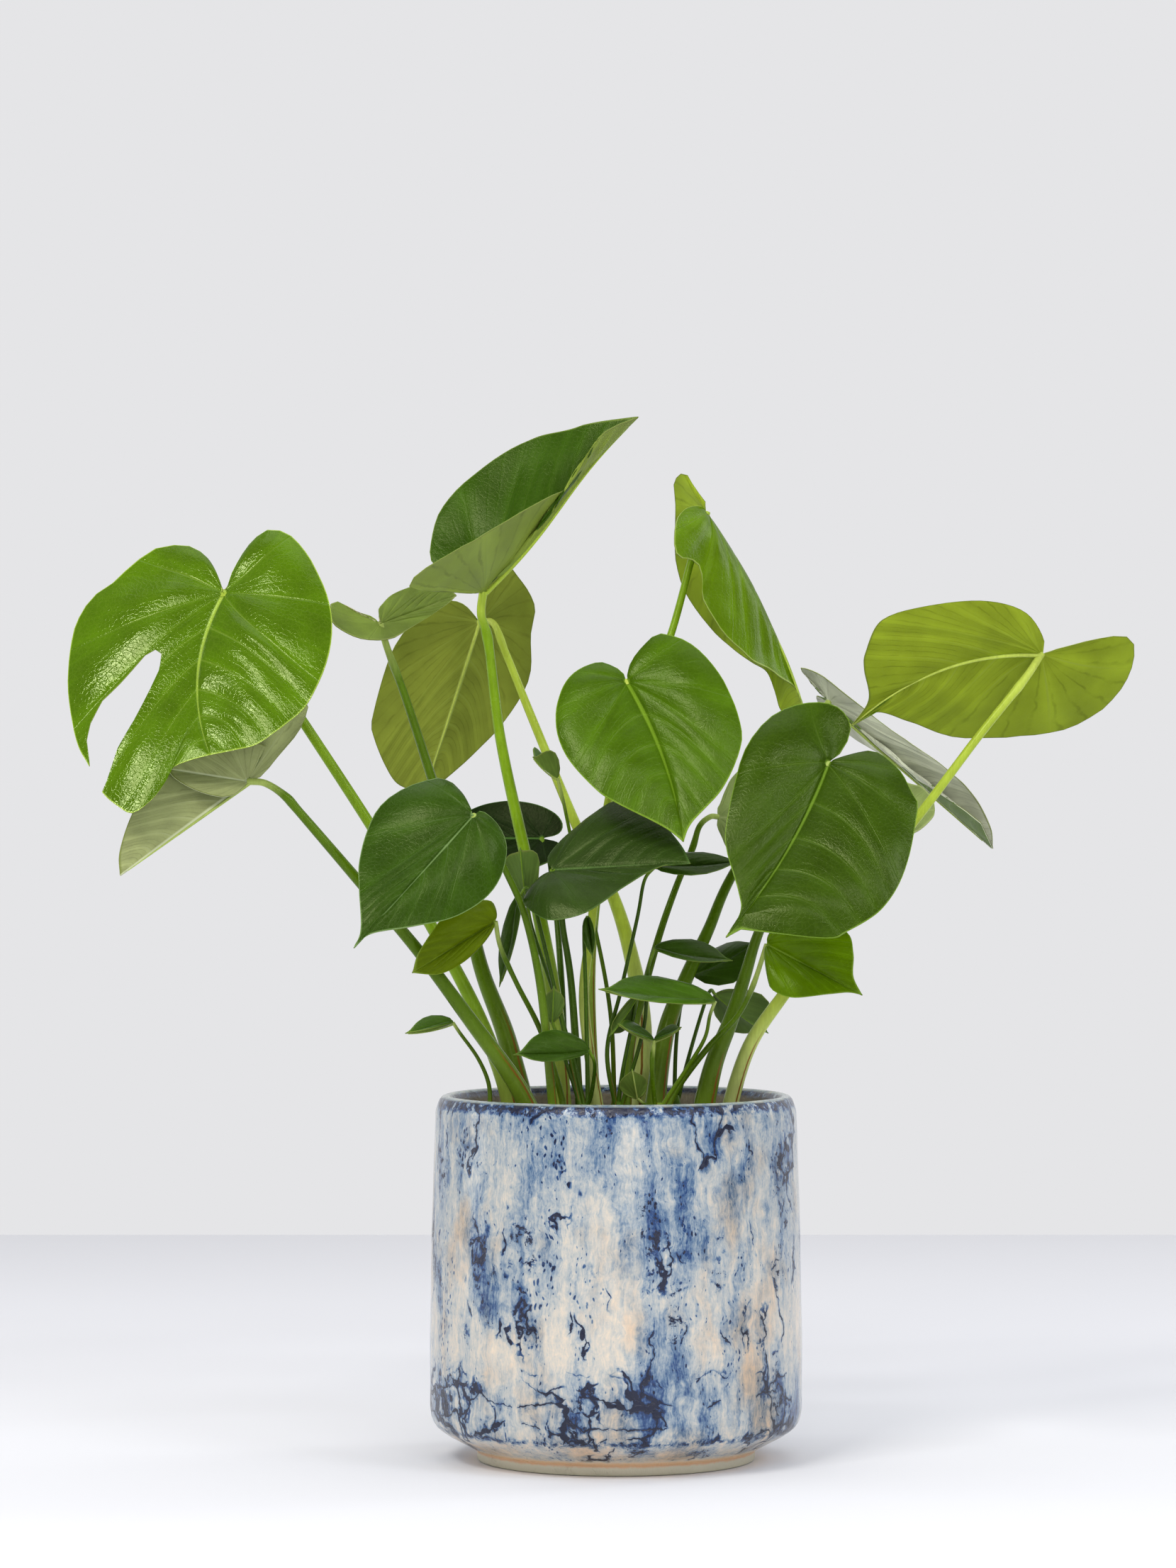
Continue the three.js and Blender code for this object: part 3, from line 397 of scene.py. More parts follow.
# Stalk end J, tip T, widest points A and B of the two halves; rimA and rimB are the sighted outlines
# of the halves where they differ from HEART, and even spaces the rows evenly along them. sway and arch
# bend the midrib sideways and upwards, curl bends it one way and back, and bulge swells each half. lean
# is how far further back the whole leaf stands, and fold is a lobe that is folded over the blade. stem
# runs from the blade down to the soil, and r is its radius at foot and top.
LEAVES = [
  ["leaf_split", {"lean": -15, "J": [-221.5, -20, 488.5], "T": [-229, -70, 397],
    "A": [-309, -30, 440], "B": [-160, -40, 470], "sway": -11, "bulge": 4, "even": 1,
    "rimA": [[-226, 500], [-232, 509.5], [-240, 514.5], [-248, 515.5], [-258.5, 514], [-270, 506.5],
      [-283, 494.5], [-295, 486], [-303, 474.5], [-307, 462.3], [-309, 447], [-309, 431.5],
      [-307, 416], [-303, 401], [-297.5, 391], [-290, 376], [-281, 368], [-273, 364],
      [-264, 370], [-257, 378], [-251, 389], [-242, 393.5]],
    "rimB": [[-219, 493.5], [-217, 499], [-212.5, 507], [-206.5, 516], [-200, 522.5], [-195, 524],
      [-189, 523], [-181.5, 519], [-174, 510], [-168, 499], [-163, 487], [-160.4, 475],
      [-160.4, 463], [-163, 450], [-168.5, 436], [-175.5, 424], [-185, 415.5], [-195, 408],
      [-204, 402.5], [-216, 399.5]],
    "stem": [[-212, 0, 470], [-180, 4, 421], [-137, 0, 355], [-104, -3, 300],
      [-80, -6, 255], [-64, -8, 215], [-58, -9, 190]], "r": [6, 2.6]}],
  ["leaf_low_left", {"lean": -10, "J": [-208, -46, 382], "T": [-280, -66, 329],
    "A": [-250, -52, 394], "B": [-236, 2, 372],
    "rimA": [[-200, 385], [-190, 397], [-178, 412], [-174, 427], [-186, 430], [-210, 424], [-237, 409],
      [-256, 391], [-272, 366], [-280, 343]],
    "fold": {"J": [-208, -46.4, 382], "T": [-253, -58, 389], "A": [-224, -50, 403],
      "B": [-229, -60, 375],
      "rimA": [[-203, 392], [-198, 403], [-214, 405.5], [-233, 402.5], [-247, 396]],
      "rimB": [[-210, 379], [-218, 373.5], [-229, 374.5], [-240, 378.5], [-249, 384]]},
    "stem": [[-198, -47, 381], [-187, -48, 374], [-178, -48, 364], [-147, -47, 328],
      [-112, -44, 287], [-82, -39, 247], [-58, -35, 214], [-46, -33, 190]], "r": [7, 1.9]}],
  ["leaf_top", {"lean": 10, "J": [-75, 0, 489], "T": [12.5, 30, 588],
    "A": [-89, 30, 548], "B": [-69, -50, 530], "curl": -5,
    "rimA": [[-88, 492], [-103, 505], [-105, 512], [-100, 533], [-86, 550], [-65, 566], [-45, 576],
      [-25, 581], [-17, 583.5], [-3, 586]],
    "rimB": [[-92, 489], [-110, 490], [-117, 494], [-103, 505], [-77, 520], [-55, 533], [-37, 543],
      [-26, 548], [-17, 562], [-8, 578]],
    "stem": [[-76, 0, 476], [-72, 0, 460], [-65, -2, 405], [-51, -6, 340], [-42, -8, 300],
      [-34, -9, 250], [-30, -10, 190]], "r": [6.5, 2.4]}],
  ["leaf_back_left", {"lean": 30, "J": [-133, -8, 471], "T": [-90, 64, 487],
    "A": [-119, 36, 496], "B": [-115, 0, 462],
    "rimA": [[-134, 479], [-132, 482], [-127, 487], [-117, 491.5], [-107, 493], [-97, 492]],
    "rimB": [[-138, 475], [-147, 478], [-157, 483.5], [-161, 482], [-160, 472], [-150, 465],
      [-139, 462], [-127, 462.5], [-117, 468], [-101, 478], [-94, 483]],
    "stem": [[-129, -4, 457], [-119, 2, 430], [-104, 6, 384], [-90, 9, 340], [-77, 10, 280],
      [-62, 9, 238], [-50, 8, 190]], "r": [8, 1.9]}],
  ["leaf_back_big", {"lean": 45, "J": [-77, 62, 472], "T": [-108, 112, 376],
    "A": [-135, 94, 425], "B": [-48, 82, 450], "bulge": 4,
    "rimA": [[-85, 481], [-92, 484], [-100, 483], [-110, 477], [-126, 456], [-137, 420], [-137, 408],
      [-127, 385], [-118, 378]],
    "rimB": [[-74, 488], [-70, 500], [-63, 505.5], [-57, 500], [-46, 482], [-48, 465], [-49, 440],
      [-63, 416], [-80, 398], [-98, 382]],
    "stem": [[-69, 50, 471], [-62, 46, 454], [-45, 42, 412], [-20, 36, 352], [-2, 32, 318],
      [9, 29, 282], [15, 27, 245], [14, 26, 190]], "r": [7.5, 1.9]}],
  ["leaf_top_right", {"lean": 40, "J": [51.5, 50, 534], "T": [105.5, 40, 425],
    "A": [37.5, 82, 492], "B": [43, 12, 497], "arch": 5, "bulge": 5,
    "rimA": [[50, 541], [45.3, 546.5], [40.7, 554.3], [37.3, 556], [33.5, 552.5], [32.7, 548.5],
      [33.5, 538], [33.3, 524], [33.3, 511.7], [34.4, 503.7], [36.7, 494.3], [40, 487],
      [47.3, 476.3], [56, 465.7], [62.7, 459.7], [69.3, 454.3], [77.3, 448.7], [85, 444],
      [89.3, 434], [92.7, 423], [98, 418.5]],
    "rimB": [[49.5, 536.5], [46.7, 537.4], [42, 537], [37.3, 534.3], [34, 529], [32.9, 518.3],
      [33.7, 511.7], [36, 508.3], [42, 507.4], [47.3, 503], [48.7, 495.7], [49, 486.3],
      [52.7, 478.3], [59.3, 467.7], [66, 460.3], [71.3, 455.7], [77.3, 449.8], [85.3, 446],
      [92.7, 440.8], [100, 436], [103, 431]],
    "stem": [[48, 48, 523], [42.5, 45, 507], [31, 42, 465], [14, 32, 420], [-3, 22, 372],
      [-12, 15, 312], [-15, 13, 262], [-12, 14, 190]], "r": [4.5, 1.9]}],
  ["leaf_centre", {"lean": -10, "J": [6, -30, 438.5], "T": [38, -75, 348],
    "A": [-32, -40, 420], "B": [68, -45, 425], "sway": 5, "bulge": 5,
    "rimA": [[4, 443], [0, 446], [-11, 449], [-27, 440], [-34, 420], [-29, 398], [-12, 378], [0, 370],
      [18, 361], [29, 355]],
    "rimB": [[9, 450], [20, 463], [27, 465], [43, 459], [60, 440], [70, 415], [70, 400],
      [60, 378], [43, 359]],
    "stem": [[5, -12, 425], [0, -4, 395], [-8, -2, 350], [-14, -4, 300], [-18, -6, 255],
      [-9, -8, 190]], "r": [4, 1.9]}],
  ["leaf_right_big", {"lean": -20, "J": [119.5, -40, 392.5], "T": [62, -90, 294],
    "A": [66, -55, 372], "B": [168, -60, 360], "sway": 5, "bulge": 5,
    "rimA": [[128, 400], [132.5, 413], [125, 424], [110, 426.5], [88, 419], [72, 398], [63, 362],
      [62, 345], [69, 320], [70, 308]],
    "rimB": [[130, 396], [146, 399], [160, 388], [168, 373], [170, 365], [163, 332], [150, 310],
      [130, 297], [120, 293.5], [92, 296], [76, 300]],
    "stem": [[114, -20, 378], [100, -8, 342], [81, -2, 298], [73, 0, 273], [65, 1, 248],
      [55, 1, 222], [48, 0, 190]], "r": [8, 2]}],
  ["leaf_far_right", {"lean": 10, "J": [240, 10, 454], "T": [133, 0, 413.5],
    "A": [190, -25, 484], "B": [225, 50, 407], "sway": 16, "bulge": -4,
    "rimA": [[241, 463], [230, 478], [207, 484], [175, 481], [150, 473], [141, 455], [140, 445],
      [142.5, 428]],
    "rimB": [[250, 457], [272, 462.5], [287, 464], [292.6, 458], [289.5, 443], [280.6, 429], [267, 418],
      [254, 411.6], [245, 409.5], [215, 407], [190, 407.5], [168, 415], [148, 421]],
    "stem": [[230, 1, 439], [205, -3, 408], [171, -2, 363], [130, 2, 311], [97, 6, 265],
      [75, 10, 232], [62, 12, 190]], "r": [5.5, 2.2]}],
  ["leaf_behind_right", {"lean": 45, "J": [120, 55, 427], "T": [212.5, 85, 344],
    "A": [146, 45, 422], "B": [150, 100, 392],
    "rimA": [[112, 436], [104, 446], [116, 442], [128, 432.5], [140, 423], [152, 413.5],
      [165, 404.5], [180, 394], [192, 384.5], [201, 375], [207, 366], [211.5, 356], [212.5, 350]],
    "rimB": [[113, 430], [120, 418], [131, 408.5], [151, 396.8], [165.5, 386], [178, 378.5],
      [192, 369], [203, 361], [208.5, 355.5], [211, 348]],
    "stem": [[112, 46, 412], [94, 34, 375], [65, 22, 328], [52, 18, 298], [40, 14, 272],
      [28, 10, 240], [21, 8, 190]], "r": [7.5, 2]}],
  ["leaf_pale_right", {"lean": 20, "J": [58, 16, 362], "T": [180, 26, 366],
    "A": [88, 34, 394], "B": [88, 2, 334],
    "rimA": [[57, 366], [59, 370], [62, 378], [67, 386], [76, 392], [92, 395], [120, 393],
      [150, 386], [167, 380.5], [172.5, 379], [177, 374.5], [179.5, 370]],
    "rimB": [[57, 357], [59.5, 351], [63, 344], [72, 335], [90, 329], [120, 328], [148, 336],
      [165, 350.5], [172, 355], [177, 359.5], [179.5, 363]],
    "stem": [[53, 15, 362], [47, 14, 356.5], [43, 12, 344], [34.5, 10, 324], [25, 6, 297],
      [16, 4, 265], [8, 5, 230], [6, 5, 190]], "r": [3, 1.6]}],
  ["leaf_front_left", {"lean": -20, "J": [-80.5, -70, 363], "T": [-148, -110, 288],
    "A": [-144, -75, 345], "B": [-66, -80, 325], "bulge": 4,
    "rimA": [[-84, 369], [-90, 379], [-97, 383], [-105, 383], [-125, 375], [-138, 360], [-145, 335],
      [-144, 300]],
    "rimB": [[-75, 365], [-65, 355], [-62, 340], [-70, 320], [-90, 306], [-115, 300], [-138, 296]],
    "stem": [[-72, -56, 350], [-62, -48, 331], [-51, -46, 305], [-42, -48, 262],
      [-35, -50, 190]], "r": [3.2, 1.6]}],
  ["leaf_dark_mid", {"lean": -5, "J": [-36, -45, 332], "T": [42, -70, 336],
    "A": [-8, -25, 366], "B": [-20, -75, 308], "bulge": 3,
    "rimA": [[-38, 340], [-25, 354], [-5, 369], [3, 370], [22, 362], [36, 347]],
    "rimB": [[-45, 326], [-52, 314], [-42, 305], [-33, 304], [-15, 309], [5, 323], [25, 334]],
    "stem": [[-32, -36, 322], [-30, -33, 300], [-25, -31, 265], [-20, -31, 190]],
    "r": [3, 1.5]}],
  ["leaf_dark_back", {"lean": 25, "J": [-42, 50, 350], "T": [-105, 70, 350],
    "A": [-60, 66, 371], "B": [-64, 30, 331],
    "stem": [[-37, 42, 335], [-33, 36, 300], [-30, 28, 250], [-30, 24, 190]],
    "r": [3, 1.5]}],
  ["leaf_lower_right", {"lean": -10, "J": [85, -20, 290], "T": [139, -50, 261.5],
    "A": [112, -30, 298], "B": [98, -40, 261], "bulge": 4,
    "rimA": [[90, 300], [110, 304], [130, 297], [134, 285], [134, 272]],
    "rimB": [[84, 283], [86, 270], [89, 264], [100, 260], [120, 262], [131, 263]],
    "stem": [[77, -14, 266], [68, -12, 249], [52, -12, 232], [34, -15, 208], [27, -18, 190]],
    "r": [2.6, 1.4]}],
  ["leaf_lower_left", {"lean": -10, "J": [-68, -40, 303], "T": [-115, -60, 274],
    "A": [-94, -50, 308], "B": [-86, -50, 280], "bulge": 3,
    "rimA": [[-68, 310], [-73, 315], [-92, 311], [-110, 288]],
    "rimB": [[-75, 291], [-85, 281], [-95, 275], [-103, 273]],
    "stem": [[-65, -36, 288], [-56, -30, 268], [-42, -24, 240], [-31, -26, 205],
      [-30, -28, 190]], "r": [2.4, 1.3]}],
]

# Of each blade: the colours above, below and of the veins, the share of light that comes through, the
# roughness above, and the finish slot.
BLADE_LOOKS = {
    "leaf_split": ("#4d7001", "#84984a", "#b0cc50", 0.14, 0.10, "leaf_bright"),
    "leaf_low_left": ("#4e6a22", "#9aa26c", "#c2caa0", 0.10, 0.46, "leaf_pale"),
    "leaf_top": ("#2f4f01", "#83963a", "#7f9640", 0.18, 0.28, "leaf_mid"),
    # The back left leaf is painted paler on both faces than its own green: painted light, as it turns
    # away from the lamps.
    "leaf_back_left": ("#7c9040", "#d6d4a0", "#b4c070", 0.38, 0.42, "leaf_pale"),
    "leaf_back_big": ("#55721b", "#919c3c", "#a9b95c", 0.30, 0.44, "leaf_pale"),
    "leaf_top_right": ("#608200", "#9db32c", "#b0c660", 0.28, 0.20, "leaf_bright"),
    "leaf_centre": ("#426201", "#78923c", "#7fa22c", 0.12, 0.25, "leaf_mid"),
    "leaf_right_big": ("#304900", "#6d873a", "#7a9c34", 0.10, 0.24, "leaf_mid"),
    "leaf_far_right": ("#6a8c14", "#99aa2c", "#b4c264", 0.36, 0.40, "leaf_bright"),
    "leaf_behind_right": ("#5c7433", "#c2c5b0", "#ced2bc", 0.08, 0.50, "leaf_pale"),
    "leaf_pale_right": ("#8c9c5e", "#a3b070", "#b2bf80", 0.25, 0.42, "leaf_pale"),
    "leaf_front_left": ("#2c4805", "#6a8842", "#7d9a5c", 0.10, 0.26, "leaf_mid"),
    # The two dark leaves hang in shade inside and behind the bunch, and their colours are painted shade.
    "leaf_dark_mid": ("#2b4012", "#566e38", "#4c6a32", 0.06, 0.28, "leaf_dark"),
    "leaf_dark_back": ("#0f1e06", "#4a6535", "#4b6f33", 0.08, 0.36, "leaf_dark"),
    "leaf_lower_right": ("#5b7c01", "#7d963a", "#8fb03c", 0.14, 0.25, "leaf_mid"),
    "leaf_lower_left": ("#627606", "#7d9238", "#94ad3e", 0.18, 0.34, "leaf_mid"),
}


def sighted(point):
    """The place in space of a point given by its line of sight and its depth."""
    x, y, z = point
    return EYE + (Vector((x, 0, z)) - EYE) * (1 + y / -EYE.y)


def on_sight(p):
    """The point where the line of sight to a place crosses the plane y = 0."""
    return EYE + (p - EYE) * (-EYE.y / (p.y - EYE.y))


def leaned(leaf):
    """The leaf moved back by its lean, its stalk with it in proportion to its height."""
    lean = leaf.get("lean", 0)
    out = dict(leaf)
    for key in ("J", "T", "A", "B"):
        x, y, z = leaf[key]
        out[key] = [x, y + lean, z]
    if "fold" in leaf:
        out["fold"] = leaned({**leaf["fold"], "stem": [], "lean": lean})
    top = leaf["J"][2]
    out["stem"] = [[x, y + lean * min(1, max(0, (z - 200) / (top - 200))), z]
                   for x, y, z in leaf["stem"]]
    return out


def along(points, u):
    """A smooth curve through points, u from 0 to 1."""
    n = len(points) - 1
    f = min(max(u, 0), 1) * n
    i = min(int(f), n - 1)
    t = f - i
    out = []
    for c in range(len(points[0])):
        b, e = points[i][c], points[i + 1][c]
        a = points[i - 1][c] if i > 0 else 2 * b - e
        d = points[i + 2][c] if i + 2 <= n else 2 * e - b
        out.append(0.5 * (2 * b + (e - a) * t + (2 * a - 5 * b + 4 * e - d) * t * t
                          + (3 * b - a - 3 * e + d) * t ** 3))
    return out


def blade_frame(leaf):
    """Stalk end, midrib vector, the vectors to the two widest points, the upper face's normal and the
    direction across the blade."""
    end = sighted(leaf["J"])
    midrib = sighted(leaf["T"]) - end
    widest = end + midrib * WIDEST
    side_a = sighted(leaf["A"]) - widest
    side_b = sighted(leaf["B"]) - widest
    up = midrib.cross(side_b - side_a).normalized()
    if up.z < 0:
        up.negate()
    return end, midrib, side_a, side_b, up, up.cross(midrib).normalized()


def laid(rim, end, midrib, half):
    """A sighted outline laid on the plane of a half blade, as (s, v)."""
    normal = midrib.cross(half)
    out = [(0, 0)]
    for x, z in rim:
        ray = Vector((x, 0, z)) - EYE
        p = EYE + ray * (normal.dot(end - EYE) / normal.dot(ray)) - end
        a, b, c = midrib.dot(midrib), midrib.dot(half), half.dot(half)
        e, f = p.dot(midrib), p.dot(half)
        out.append(((e * c - f * b) / (a * c - b * b), (f * a - e * b) / (a * c - b * b)))
    return out + [(1, 0)]


def half_rows(outline, lobe_rows, body_rows, veins, even):
    """Rows that follow the side veins from the midrib at m to the rim at (s, v); u counts veins. They
    end level with a point of the midrib, or evenly spaced along the rim."""
    samples = 400
    line = [along(outline, i / samples) for i in range(samples + 1)]
    length = [0]
    for (s0, v0), (s1, v1) in zip(line, line[1:]):
        length.append(length[-1] + math.hypot(s1 - s0, 0.5 * (v1 - v0)))
    turn = max(i for i in range(samples + 1) if line[i][0] < FAN)
    rows = []
    for i in range(lobe_rows + 1):
        wanted = length[turn] * (0.04 + 0.96 * i / lobe_rows)
        k = next(j for j in range(samples + 1) if length[j] >= wanted)
        rows.append((0, line[k][0], line[k][1], -LOBE_VEINS * (1 - i / lobe_rows)))
    k = turn
    for i in range(1, body_rows):
        m = 1 - (1 - i / body_rows) ** CROWDING
        if even:
            wanted = length[turn] + m * (length[samples] - length[turn])
            k = next(j for j in range(samples + 1) if length[j] >= wanted)
            rows.append((m, *line[k][:2], veins * i / body_rows))
            continue
        level = FAN + m * (1 - FAN)
        while k < samples and line[k][0] < level:
            k += 1
        (s0, v0), (s1, v1) = line[k - 1], line[k]
        t = (level - s0) / (s1 - s0) if abs(s1 - s0) > 1e-6 else 1
        t = min(1, max(0, t))
        rows.append((m, s0 + (s1 - s0) * t, v0 + (v1 - v0) * t, veins * i / body_rows))
    return rows + [(1, 1, 0, veins)]


def blade_sheet(leaf, outline, lobe_rows, body_rows, columns, veins):
    """The blade as one sheet: points, faces turned to the upper side, and (u, r, mm from midrib)."""
    end, midrib, side_a, side_b, up, across = blade_frame(leaf)
    sway, arch, bulge, curl = (leaf.get(key, 0) for key in ("sway", "arch", "bulge", "curl"))
    points, faces, marks, index = [], [], [], {}
    for half, rim in ((side_a, leaf.get("rimA")), (side_b, leaf.get("rimB"))):
        edge = laid(rim, end, midrib, half) if rim else outline
        grid = []
        for m, s_rim, v_rim, u in half_rows(edge, lobe_rows, body_rows, veins,
                                          leaf.get("even")):
            row, root = [], None
            for j in range(columns + 1):
                r = (j / columns) ** CROWDING
                arc = VEIN_BOW * math.sin(math.pi * r) * min(1, 6 * m) * min(1, 5 * (1 - m))
                s = m + (s_rim - m) * r - arc
                bow = (4 * s * (1 - s) if s > 0 else 1.5 * s) * (1 - r)
                turn = curl * math.sin(2 * math.pi * m) * (1 - r)
                p = (end + midrib * s + half * (v_rim * r) + across * (sway * bow + turn)
                     + up * (arch * bow + bulge * 4 * r * (1 - r) * v_rim))
                root = root or p
                key = tuple(round(c, 3) for c in p)
                if key not in index:
                    index[key] = len(points)
                    points.append(p)
                    marks.append((u, r, (p - root).length))
                row.append(index[key])
            grid.append(row)
        flipped = midrib.cross(half).dot(up) > 0
        for near, far in zip(grid, grid[1:]):
            for j in range(columns):
                face = list(dict.fromkeys([near[j], near[j + 1], far[j + 1], far[j]]))
                if len(face) > 2:
                    faces.append(face[::-1] if flipped else face)
    return points, faces, marks


def sheet_mesh(points, faces, marks):
    """A bmesh of the sheet that carries its marks."""
    sheet = bmesh.new()
    layer = sheet.verts.layers.float_vector.new("marks")
    verts = []
    for p, mark in zip(points, marks):
        vert = sheet.verts.new(p)
        vert[layer] = Vector(mark)
        verts.append(vert)
    for face in faces:
        sheet.faces.new([verts[i] for i in face])
    sheet.normal_update()
    return sheet, layer


def notched(sheet):
    """Cuts the notch along lines of sight and drops what falls off."""
    corners = [sighted((x, 0, z)) for x, z in NOTCH]
    for a, b in zip(corners, corners[1:] + corners[:1]):
        normal = (a - EYE).cross(b - EYE).normalized()
        middle, reach = (a + b) / 2, (b - a).length / 2 + CUT_MARGIN
        near = [f for f in sheet.faces
                if (on_sight(f.calc_center_median()) - middle).length < reach]
        geometry = set(near)
        for f in near:
            geometry.update(f.edges)
            geometry.update(f.verts)
        bmesh.ops.bisect_plane(sheet, geom=list(geometry), plane_co=a, plane_no=normal)
    inside = [f for f in sheet.faces if in_outline(on_sight(f.calc_center_median()), NOTCH)]
    bmesh.ops.delete(sheet, geom=inside, context="FACES")
    left = set(sheet.faces)
    parts = []
    while left:
        part, edge = set(), [left.pop()]
        while edge:
            face = edge.pop()
            part.add(face)
            beside = {g for e in face.edges for g in e.link_faces} & left
            left -= beside
            edge += beside
        parts.append(part)
    largest = max(parts, key=len)
    loose = [f for part in parts if part is not largest for f in part]
    bmesh.ops.delete(sheet, geom=loose, context="FACES")


def in_outline(point, outline):
    """Whether a point of the plane y = 0 lies inside a closed outline."""
    x, _, z = point
    inside = False
    for (x0, z0), (x1, z1) in zip(outline, outline[1:] + outline[:1]):
        if (z0 > z) != (z1 > z) and x < x0 + (z - z0) * (x1 - x0) / (z1 - z0):
            inside = not inside
    return inside


def relief(sheet, layer, seed, size, count, quilt=QUILT):
    """Swells the tissue between side veins, sinks the midrib and lets the whole blade wave a little."""
    for vert in sheet.verts:
        u, r, span = vert[layer]
        between = 0.5 - 0.5 * math.cos(2 * math.pi * u)
        room = min(1, span / max(r, 0.05) / 30)
        held = math.sin(math.pi * min(1, r)) ** 0.7 if 0 < r < 1 else 0
        uneven = 0.8 + 1.4 * noise.noise(Vector((0.9 * u, 1.6 * r, seed)) + vert.co / 60)
        rise = size * quilt * uneven * held * (between ** 0.8 - 0.4)
        sink = size * VEIN_DEPTH * held * math.exp(-((u - round(u)) / 0.06) ** 2)
        left = 1 - max(0, u) / count
        groove = size * MIDRIB_DEPTH * (0.3 + 0.7 * left) * math.exp(-(span / (0.6 + 1.5 * left)) ** 2)
        swell = WAVE_HEIGHT * size * 4 * r * (1 - r)
        wave = swell * noise.noise(vert.co / WAVE_LENGTH + Vector((seed, 0, 0)))
        fine = RIPPLE_HEIGHT * size * r ** 4
        ripple = fine * noise.noise(vert.co / RIPPLE_LENGTH + Vector((0, seed, 0)))
        vert[layer].z = span
        vert.co += vert.normal * (room * (rise - sink + wave + ripple) - groove)
    sheet.normal_update()


def blade_piece(name, sheet, layer, material, thickness, sides=(1, -1)):
    """Gives the sheet its thickness: an upper and an under face joined by a rim."""
    sheet.verts.index_update()
    verts = list(sheet.verts)
    count = len(verts)
    points = [v.co + v.normal * (0.5 * thickness) for v in verts]
    points += [v.co - v.normal * (0.5 * thickness) for v in verts]
    faces = []
    for face in sheet.faces:
        ring = [v.index for v in face.verts]
        faces.append(ring)
        faces.append([i + count for i in reversed(ring)])
    for edge in sheet.edges:
        if len(edge.link_faces) == 1:
            loop = next(l for l in edge.link_faces[0].loops if l.edge == edge)
            a, b = loop.vert.index, loop.link_loop_next.vert.index
            faces.append([b, a, a + count, b + count])
    piece = new_piece(name, points, faces, [material], smooth=55)
    marks = [tuple(v[layer]) for v in verts]
    blade = piece.data.attributes.new("blade", "FLOAT_VECTOR", "POINT")
    blade.data.foreach_set("vector", [c for side in sides for u, r, _ in marks
                                      for c in (u, r, side)])
    span = piece.data.attributes.new("span", "FLOAT", "POINT")
    span.data.foreach_set("value", [mark[2] for mark in marks] * 2)
    sheet.free()
    return piece


